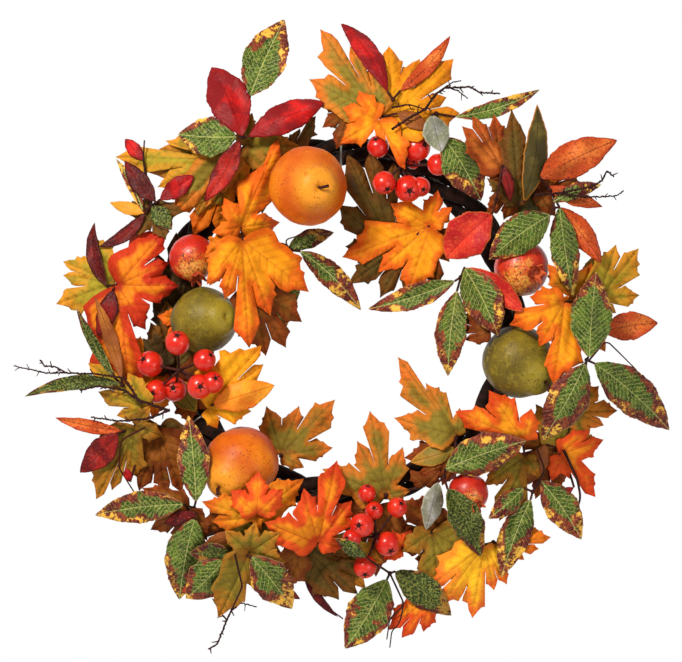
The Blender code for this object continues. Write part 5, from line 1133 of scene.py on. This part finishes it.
def fine_leaf(row, rng):
    kind, base, tips, width, bend, look = row
    base = pat(base)
    values = {}
    if kind == "B":
        tip, half_w = pat(tips), width * U / 2
        length = np.linalg.norm(tip - base)
        n = max(14, int(length / 0.0018))
        share = np.linspace(0, 1, n + 1)[1:-1]
        wave = 1 + 0.035 * np.sin(share * 23 + rng.uniform(0, 6)) + 0.02 * rng.standard_normal(len(share))
        half_ws = half_w * np.maximum(oval_width(share, look), 0.02) * wave
        outline = blade_outline(base, tip, bend, share, half_ws)
        line, side = axis_points(base, tip, bend, 101)
        step = H_LEAF * (0.85 if width > 16 else 0.6)
        rib = line[np.unique(np.round(np.linspace(0, 100, max(6, int(length / step)))).astype(int))]
        ribs = [rib]
    else:
        tips = [pat(t) for t in tips]
        outline, ways = lobed_outline(base, tips, width, rng)
        outline = resample(outline, 0.0022, True)
        ribs = [resample([base, base + way * 0.985], H_LEAF) for way in ways]
        step = H_LEAF
    low, high = outline.min(0), outline.max(0)
    grid = []
    for j, z in enumerate(np.arange(low[1], high[1], step * 0.866)):
        for x in np.arange(low[0] + (j % 2) * step / 2, high[0], step):
            grid.append((x, z))
    grid = np.array(grid).reshape(-1, 2) + rng.uniform(-0.12, 0.12, (len(grid), 2)) * step
    grid = grid[inside(grid, outline)] if len(grid) else grid
    rim = resample(outline, 0.0010, True)
    if len(grid):
        near = np.sqrt(((grid[:, None, :] - rim[None]) ** 2).sum(2)).min(1)
        grid = grid[near > step * 0.45]
    if len(grid):
        bones = np.concatenate(ribs)
        near = np.sqrt(((grid[:, None, :] - bones[None]) ** 2).sum(2)).min(1)
        grid = grid[near > step * 0.45]
    xz, tris = triangulate([outline], grid, ribs)
    xz, tris = tidy(xz, tris)
    edge = np.sqrt(((xz[:, None, :] - rim[None]) ** 2).sum(2)).min(1)
    if kind == "B":
        gaps = np.linalg.norm(xz[:, None, :] - line[None], axis=2)
        at = gaps.argmin(1)
        tt = at / 100.0
        q = ((xz - line[at]) * side[at]).sum(1)
        run = tt * length
        local = half_w * np.maximum(oval_width(np.clip(tt, 0.02, 0.98), look), 0.15)
        values = {"tt": tt, "qn": np.clip(q / local, -1.2, 1.2), "vein": np.abs(q) * 1000, "edge": edge * 1000,
                  "sv": (run - 0.95 * np.abs(q)) / (0.0048 if width > 16 else 0.0040) + 50}
        cup, reach = q, np.full(len(xz), length)
    else:
        best = np.full(len(xz), 9.0)
        tt, q, reach = np.zeros(len(xz)), np.zeros(len(xz)), np.full(len(xz), 0.03)
        for way in ways:
            length = np.linalg.norm(way)
            along = way / length
            s = (xz - base) @ along
            cross = (xz - base) @ np.array([-along[1], along[0]])
            off = np.where(s > 0, np.abs(cross), np.linalg.norm(xz - base, axis=1)) + np.maximum(0, s - length) * 2
            take = off < best
            best = np.where(take, off, best)
            tt = np.where(take, np.clip(s / length, 0, 1), tt)
            q = np.where(take, cross, q)
            reach = np.where(take, length, reach)
        values = {"tt": tt, "qn": np.clip(q / 0.012, -1, 1), "vein": best * 1000, "edge": edge * 1000, "sv": (tt * reach - 0.75 * np.abs(q)) / 0.0085 + 50}
        cup = q
    return base, xz, tris, values, cup, reach


def grow(field, times):
    for _ in range(times):
        field = spread(field)
    return field


def lay_leaf(parts, row, hub, share, k, rng):
    base, xz, tris, values, cup, reach = fine_leaf(row, rng)
    kind, look = row[0], row[5]
    tt = values["tt"]
    far = np.clip(np.linalg.norm(xz - base, axis=1) / np.maximum(reach, 1e-4), 0, 1.1)
    arch = 0.10 * reach.mean() * np.sin(np.pi * np.clip(far, 0, 1))
    fold = (0.40 if kind == "B" else 0.28) * rng.choice([1.0, 1.0, -0.7])
    curl = rng.uniform(-0.15, 0.05)
    ripple = 0.0020 * np.sin(far * 9 + rng.uniform(0, 6)) * np.clip(np.abs(cup) / 0.01, 0, 1)
    lean = rng.uniform(0, math.tau, 3)
    ripple = ripple + 0.0020 * np.clip(far * 1.6, 0, 1) * np.sin(xz[:, 0] * 190 + lean[0]) * np.cos(xz[:, 1] * 170 + lean[1])
    natural = envelope(xz, share) + 0.0005 * k + arch - fold * np.abs(cup) + curl * reach * far ** 2 + ripple
    if kind == "M":
        natural = natural + 0.0020 * np.sin(values["vein"] * 0.55) * far
    need = grow(FIELD, 2)
    ij = cells(xz)
    need = need[ij[:, 0], ij[:, 1]] + LEAF_T + 0.0003
    lack = need - natural
    depth = natural.copy()
    bad = lack > 0
    if bad.any():
        gap_to = np.linalg.norm(xz[:, None, :] - xz[bad][None], axis=2)
        lift = np.maximum(0.0, (lack[bad][None] - 0.55 * gap_to).max(1))
        edges = np.unique(np.sort(np.concatenate([tris[:, [0, 1]], tris[:, [1, 2]], tris[:, [2, 0]]]), axis=1), axis=0)
        for _ in range(6):
            total, number = np.zeros(len(xz)), np.zeros(len(xz))
            for a, b in ((0, 1), (1, 0)):
                np.add.at(total, edges[:, a], lift[edges[:, b]])
                np.add.at(number, edges[:, a], 1)
            lift = np.maximum(lack, 0.5 * lift + 0.5 * total / np.maximum(number, 1))
        depth = natural + np.maximum(lift, 0)
    groove = 0.0006 * np.exp(-((values["vein"] / 0.9) ** 2))
    edge_in = np.clip(values["edge"] / 3.0, 0, 1)
    groove = groove + 0.00045 * np.exp(-(((values["sv"] % 1.0) - 0.5) / 0.14) ** 2) * edge_in
    n = len(xz)
    front = world(np.stack([xz[:, 0], depth - groove, xz[:, 1]], axis=1))
    back = front.copy()
    back[:, 1] += LEAF_T
    ends = np.concatenate([tris[:, [0, 1]], tris[:, [1, 2]], tris[:, [2, 0]]])
    key = {(a, b) for a, b in ends}
    rim = [(a, b) for a, b in key if (b, a) not in key]
    # tris run anticlockwise seen along +Y, so the front keeps them and the back turns them round.
    look_key = look if kind == "M" or ("blade_" + look) not in LOOKS else "blade_" + look
    face_front, face_back = parts.slot_of(LOOKS[look_key]), parts.slot_of(back_of(look, kind))
    faces = [tuple(t) for t in tris] + [tuple(t[::-1] + n) for t in tris] + [(b, a, a + n, b + n) for a, b in rim]
    index = [face_front] * len(tris) + [face_back] * len(tris) + [face_front] * len(rim)
    both = {key: np.concatenate([v, v]) for key, v in values.items()}
    both["rn"] = np.full(2 * n, rng.uniform(0.0, 1.0))
    parts.add(np.concatenate([front, back]), faces, None, both, index)
    number, weight = tri_samples(xz, tris, 0.0012)
    at = np.einsum("ij,ijk->ik", weight, xz[tris[number]])
    put(at, (weight * depth[tris[number]]).sum(1))
    start = int(np.argmin(np.linalg.norm(xz - base, axis=1)))
    return base, depth[start]


def pick(name, hub_at, share, rows):
    hub = pat(hub_at)
    parts = Parts()
    rng = np.random.default_rng(sum(ord(c) * (i + 3) for i, c in enumerate(name)))
    before = spread(FIELD)
    ij = cells(hub[None])
    hub_depth = max(float(before[ij[0, 0], ij[0, 1]]) + 0.002, float(envelope(hub[None], share)[0]))
    stems = []
    for k, row in enumerate(rows):
        if row[0] == "T":
            radius = row[2] / 1000
            path = stem_path(row[1], radius, lambda p: envelope(p, share) + 0.002, spread(FIELD))
            path = smooth_line(path[::2] if len(path) % 2 else np.r_[path[::2], path[-1:]], 2)
            taper = np.linspace(1.0, 0.6, len(path))
            points, faces = tube(world(path), radius * taper, 8)
            parts.add(points, faces, TWIG if row[5] == "twig" else LOOKS["burgundy"])
            put_tube(path, radius)
            continue
        base, depth = lay_leaf(parts, row, hub, share, k, rng)
        stems.append((base, depth, row[5]))
    for base, depth, look in stems:
        run = np.linalg.norm(base - hub)
        if run < 0.0035:
            continue
        n = max(3, int(run / 0.003))
        t = np.linspace(0, 1, n)[:, None]
        flat = hub * (1 - t) + base * t
        ij = cells(flat)
        line = np.stack([flat[:, 0], np.maximum(hub_depth * (1 - t[:, 0]) + depth * t[:, 0], before[ij[:, 0], ij[:, 1]] + 0.0016), flat[:, 1]], axis=1)
        points, faces = tube(world(smooth_line(line, 1)), 0.0011, 7)
        parts.add(points, faces, STEM)
    stub = np.array([(hub[0], hub_depth - 0.002 + 0.0025 * j, hub[1]) for j in range(3)])
    points, faces = tube(world(stub), 0.0022, 8)
    parts.add(points, faces, STEM)
    slot = "maple_leaf" if name.startswith("maple") else "red_leaf" if name.startswith("red") else "green_leaf"
    parts.done(name + "_leaves", name, slot)


# ---------------------------------------------------------------- fruit
PEAR = [(0.0, -0.90), (0.30, -0.93), (0.66, -0.80), (0.92, -0.44), (1.0, -0.02), (0.94, 0.34), (0.76, 0.64), (0.60, 0.83),
        (0.50, 0.99), (0.38, 1.11), (0.20, 1.17), (0.06, 1.13), (0.0, 1.07)]
POMEGRANATE = [(0.0, -0.93), (0.34, -0.90), (0.72, -0.66), (0.96, -0.22), (0.99, 0.16), (0.80, 0.58), (0.50, 0.84), (0.27, 0.93)]
CROWN_PROFILE = [(0.25, 0.90), (0.24, 1.00), (0.30, 1.12), (0.33, 1.17), (0.29, 1.16), (0.20, 1.04), (0.14, 0.98), (0.0, 0.97)]
BERRY = [(0.0, -1.0), (0.38, -0.93), (0.72, -0.70), (0.95, -0.32), (1.0, 0.05), (0.93, 0.42), (0.68, 0.78), (0.36, 0.96), (0.22, 0.97), (0.12, 0.90), (0.0, 0.86)]


def lumpy(seed, size, amount):
    def bend(r, h, a):
        v = Vector((r * math.cos(a), r * math.sin(a), h)) / size
        swell = 1 + amount * noise.noise(v * 1.3 + Vector((seed, 0, 0))) + amount * 0.35 * noise.noise(v * 4.0 + Vector((0, seed, 0)))
        return r * swell, h * (1 + amount * 0.3 * noise.noise(v * 1.1))
    return bend


def fruit(name):
    kind, centre, radius, look = FRUIT[name]
    size = radius * U
    rotation = aim(look)
    way = Vector(look).normalized()
    shift = -0.10 * size if kind == "pear" else 0.0
    x, z = pat(centre)
    at = [x + way.x * shift, 0.0, z + way.z * shift]
    profile = [(r * size, h * size) for r, h in fine_profile(PEAR if kind == "pear" else POMEGRANATE, 8)]
    steps = 84
    seed = float(len(name)) * 3.7
    points, faces = turned(profile, steps, rotation, at, lumpy(seed, size, 0.045))
    points = np.array(points)
    cloud = np.stack([points[:, 0], RING_D - points[:, 1], points[:, 2] + HOOK], axis=1)
    depth = max(0.046, size * 1.02, rest_depth(cloud, spread(FIELD)))
    points[:, 1] -= depth
    at[1] = depth
    if kind == "pear":
        green = name in ("pear_right", "pear_inner_left")
        tall = np.repeat([h / size for _, h in profile], steps)
        build(name + "_body", points, faces, [PEAR_GREEN if green else PEAR_ORANGE], name, attributes={"tt": tall})
    else:
        parts = Parts()
        away = points - points.mean(axis=0)
        away /= np.linalg.norm(away, axis=1)[:, None]
        parts.add(points, faces, POMEGRANATE_SKIN, {"tt": 0.5 + 0.5 * (away @ np.array([0.05, -0.80, -0.58]))})
        fringe = [(r * size, h * size) for r, h in fine_profile(CROWN_PROFILE, 3)]

        def frill(r, h, a):
            lift = max(0.0, h / size - 0.98)
            return r * (1 + 0.22 * lift * 5 * math.cos(6 * a)), h + lift * size * 0.55 * math.cos(6 * a)

        crown, crown_faces = turned(fringe, 48, rotation, at, frill)
        parts.add(crown, crown_faces, CROWN)
        parts.done(name + "_fruit", name, "pomegranate")
    put_points(points)
    if name in STEMMED:
        length, lean = STEMMED[name]
        start = np.array(at) + np.array([way.x, way.y, way.z]) * (1.12 * size + 0.0006)
        lean = np.array(lean) / np.linalg.norm(lean)
        first = start + np.array([way.x, way.y, way.z]) * length * 0.35
        path = smooth_line(np.array([start, first, first + lean * length * 0.4, first + lean * length * 0.65]), 2)
        radii = 0.0013 + 0.0004 * np.linspace(-0.2, 1, len(path)) ** 2
        points, faces = tube(world(path), radii, 10)
        build(name + "_stalk", points, faces, [STEM], name + "_stem")
        put_tube(path, 0.0014)


def berries(name):
    hub, rows = BERRIES[name]
    hub_xz = pat(hub)
    before = spread(FIELD)
    parts = Parts()
    centres = []
    for k, (centre, radius, look) in enumerate(rows):
        size = radius * U
        rotation = aim(look)
        profile = [(r * size, h * size) for r, h in fine_profile(BERRY, 4)]
        x, z = pat(centre)
        points, faces = turned(profile, 36, rotation, (x, 0.0, z), lumpy(k * 5.3, size, 0.02))
        points = np.array(points)
        cloud = np.stack([points[:, 0], RING_D - points[:, 1], points[:, 2] + HOOK], axis=1)
        depth = max(0.058 + 0.006 * (k % 3), rest_depth(cloud, before))
        points[:, 1] -= depth
        parts.add(points, faces, BERRY_SKIN)
        centres.append((x, depth, z, size, points))
        # The dried calyx: a small dark star in the dimple.
        star, star_faces = [], []
        star.append(rotation @ Vector((0, 0, 0.90 * size)))
        for j in range(10):
            a = math.tau * j / 10 + k
            r = (0.46 if j % 2 == 0 else 0.17) * size
            star.append(rotation @ Vector((r * math.cos(a), r * math.sin(a), (1.03 if j % 2 == 0 else 0.965) * size)))
        for j in range(10):
            star_faces.append((0, 1 + j, 1 + (j + 1) % 10))
        parts.add([(x + v.x, RING_D - depth + v.y, z - HOOK + v.z) for v in star], star_faces, CALYX)
    middle = np.mean([c[1] for c in centres])
    for k, (x, depth, z, size, _) in enumerate(centres):
        to = (341 + x / U, 322 - z / U)
        path = stem_path([hub, to], 0.0011, lambda p, d=depth: np.linspace(middle - 0.004, d, len(p)), before)
        if path[-1, 1] < depth:
            path[-1, 1] = max(path[-1, 1], depth - size * 0.5)
        else:
            path[-1, 1] = min(path[-1, 1], depth + size * 0.4)
        path = smooth_line(path, 1)
        points, faces = tube(world(path), np.linspace(0.0013, 0.0010, len(path)), 7)
        parts.add(points, faces, STEM)
        put_tube(path, 0.0011)
    stub = np.array([(hub_xz[0], middle - 0.006 + 0.003 * j, hub_xz[1]) for j in range(4)])
    points, faces = tube(world(stub), 0.0024, 8)
    parts.add(points, faces, STEM)
    parts.done(name + "_spray", name, "berry")
    for c in centres:
        put_points(c[4])


def twig(name):
    before = spread(FIELD)
    parts, laid = Parts(), []
    rng = np.random.default_rng(len(name) * 17)
    for k, (points, radius) in enumerate(TWIGS[name]):
        radius /= 1000
        path = stem_path(points, radius, lambda p: envelope(p, 0.8), before)
        for other in laid:
            for end in (0, len(path) - 1):
                gap_to = np.hypot(other[:, 0] - path[end, 0], other[:, 2] - path[end, 2])
                if gap_to.min() < 0.0030:
                    goal = other[gap_to.argmin(), 1]
                    run = np.abs(np.arange(len(path)) - end) * 0.004
                    path[:, 1] = np.maximum(path[:, 1], goal - 0.8 * run)
                    path[end] = other[gap_to.argmin()]
        path = smooth_line(path, 2)
        path[1:-1] += rng.normal(0, 0.00025, (len(path) - 2, 3))
        laid.append(path)
        knots = 1 + 0.30 * np.clip(np.sin(np.arange(len(path)) * 0.9 + k), 0, 1) ** 3
        radii = radius * knots * np.linspace(1.0, 0.62, len(path))
        p, f = tube(world(path), radii, 8)
        parts.add(p, f, TWIG)
        side = 1
        for j in range(7, len(path) - 4, 11):
            ahead = path[j + 1] - path[j - 1]
            ahead /= np.linalg.norm(ahead)
            out = np.array([-ahead[2], 0.25, ahead[0]]) * side
            out = out / np.linalg.norm(out) + ahead * 0.7
            side = -side
            length = rng.uniform(0.0025, 0.0055)
            spur = np.array([path[j], path[j] + out * length * 0.5 + np.array([0, 0.0006, 0]), path[j] + out * length])
            p, f = tube(world(smooth_line(spur, 1)), np.linspace(radius * 0.75, radius * 0.35, 6)[:len(smooth_line(spur, 1))], 6)
            parts.add(p, f, TWIG)
        put_tube(path, radius)
    parts.done(name + "_bark", name, "stem")


# Dye lots that differ from the pattern table: (pick, row) and the look it takes.
DYES = {("maple_pick_inner_top", 0): "darkolive", ("maple_pick_low_left_inner", 1): "orange", ("maple_pick_top", 4): "oliveorange",
        ("maple_pick_upper_right", 2): "copper", ("maple_pick_upper_right", 5): "darkolive", ("maple_pick_upper_right", 6): "darkolive", ("maple_pick_left", 1): "scarlet"}
PICKS = [entry if entry[0].isupper() else (*entry[:3], [(*row[:-1], DYES.get((entry[0], k), row[-1])) for k, row in enumerate(entry[3])]) for entry in PICKS]

# The bottom twig is threaded in under the low leaves, and only its end shows.
PICKS.remove(("TWIG", "twig_bottom"))
PICKS.insert([entry[0] for entry in PICKS].index("maple_pick_low_left"), ("TWIG", "twig_bottom"))

for entry in PICKS:
    if entry[0] == "BERRIES":
        berries(entry[1])
    elif entry[0] == "FRUIT":
        fruit(entry[1])
    elif entry[0] == "TWIG":
        twig(entry[1])
    else:
        pick(*entry)

# ---------------------------------------------------------------- studio
scene = bpy.context.scene
scene.view_settings.view_transform = "Standard"
scene.view_settings.look = "None"
if scene.world is None:
    scene.world = bpy.data.worlds.new("studio")
scene.world.use_nodes = True
# The room is a soft white tent: brightest behind the wreath, and dimmer on the side the lamps stand on.
tree = scene.world.node_tree
ground = tree.nodes.get("Background") or tree.nodes.new("ShaderNodeBackground")
ground.inputs["Strength"].default_value = 1.0
way = tree.nodes.new("ShaderNodeTexCoord")
split = tree.nodes.new("ShaderNodeSeparateXYZ")
tent = tree.nodes.new("ShaderNodeMapRange")
tent.interpolation_type = "SMOOTHSTEP"
for key, value in (("From Min", -0.1), ("From Max", 0.75), ("To Min", 0.0), ("To Max", 1.0)):
    tent.inputs[key].default_value = value
tree.links.new(way.outputs["Generated"], split.inputs[0])
tree.links.new(split.outputs["Y"], tent.inputs["Value"])
shade = tree.nodes.new("ShaderNodeMix")
shade.data_type = "RGBA"
shade.inputs[6].default_value = (0.42, 0.405, 0.375, 1.0)
shade.inputs[7].default_value = (1.0, 1.0, 1.0, 1.0)
tree.links.new(tent.outputs["Result"], shade.inputs[0])
tree.links.new(shade.outputs[2], ground.inputs["Color"])
end = tree.nodes.get("World Output") or tree.nodes.new("ShaderNodeOutputWorld")
tree.links.new(ground.outputs[0], end.inputs["Surface"])


def lamp(name, at, towards, size, watts, colour=(1, 1, 1)):
    data = bpy.data.lights.new(name, "AREA")
    data.shape = "DISK"
    data.size = size
    data.energy = watts
    data.color = colour
    obj = bpy.data.objects.new(name, data)
    obj.location = at
    obj.rotation_euler = (Vector(towards) - Vector(at)).to_track_quat("-Z", "Y").to_euler()
    scene.collection.objects.link(obj)


middle = (0.0, 0.0, -HOOK)
lamp("key", (-0.9, -1.7, 1.1 - HOOK), middle, 0.5, 50.0, (1.0, 0.955, 0.88))
lamp("fill", (1.3, -1.6, -0.3 - HOOK), middle, 0.9, 8.0)

floor_mesh = bpy.data.meshes.new("floor")
floor_mesh.from_pydata([(-1.2, -1.0, 0), (1.2, -1.0, 0), (1.2, 1.0, 0), (-1.2, 1.0, 0)], [], [(0, 1, 2, 3)])
floor = bpy.data.objects.new("floor", floor_mesh)
floor.location = (0, 0, -1.05)
scene.collection.objects.link(floor)
g = Graph("floor_pale")
floor_mesh.materials.append(g.finish(g.mix(g.noise(4.0), "E8E6E2", "EEECE8"), 0.8, 0.1))
floor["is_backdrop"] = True

camera_data = bpy.data.cameras.new("camera")
camera = bpy.data.objects.new("camera", camera_data)
scene.collection.objects.link(camera)
scene.camera = camera
distance = 5.0
camera_data.sensor_fit = "HORIZONTAL"
camera_data.sensor_width = 36.0
camera_data.lens = 36.0 * distance / (682 * U)
camera_data.clip_end = 30.0
camera.location = (0.0, RING_D - 0.055 - distance, (PAT_Z - 331) * U - HOOK)
camera.rotation_euler = (math.pi / 2, 0.0, 0.0)

size_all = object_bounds()


def plain(value):
    if hasattr(value, "items"):
        return {k: plain(v) for k, v in value.items()}
    if isinstance(value, Vector):
        return [float(v) for v in value]
    if isinstance(value, (str, bytes)) or not hasattr(value, "__iter__"):
        return value if isinstance(value, (str, int)) else float(value)
    return [plain(v) for v in value]


{"frame": plain(size_frame), "all": plain(size_all)}
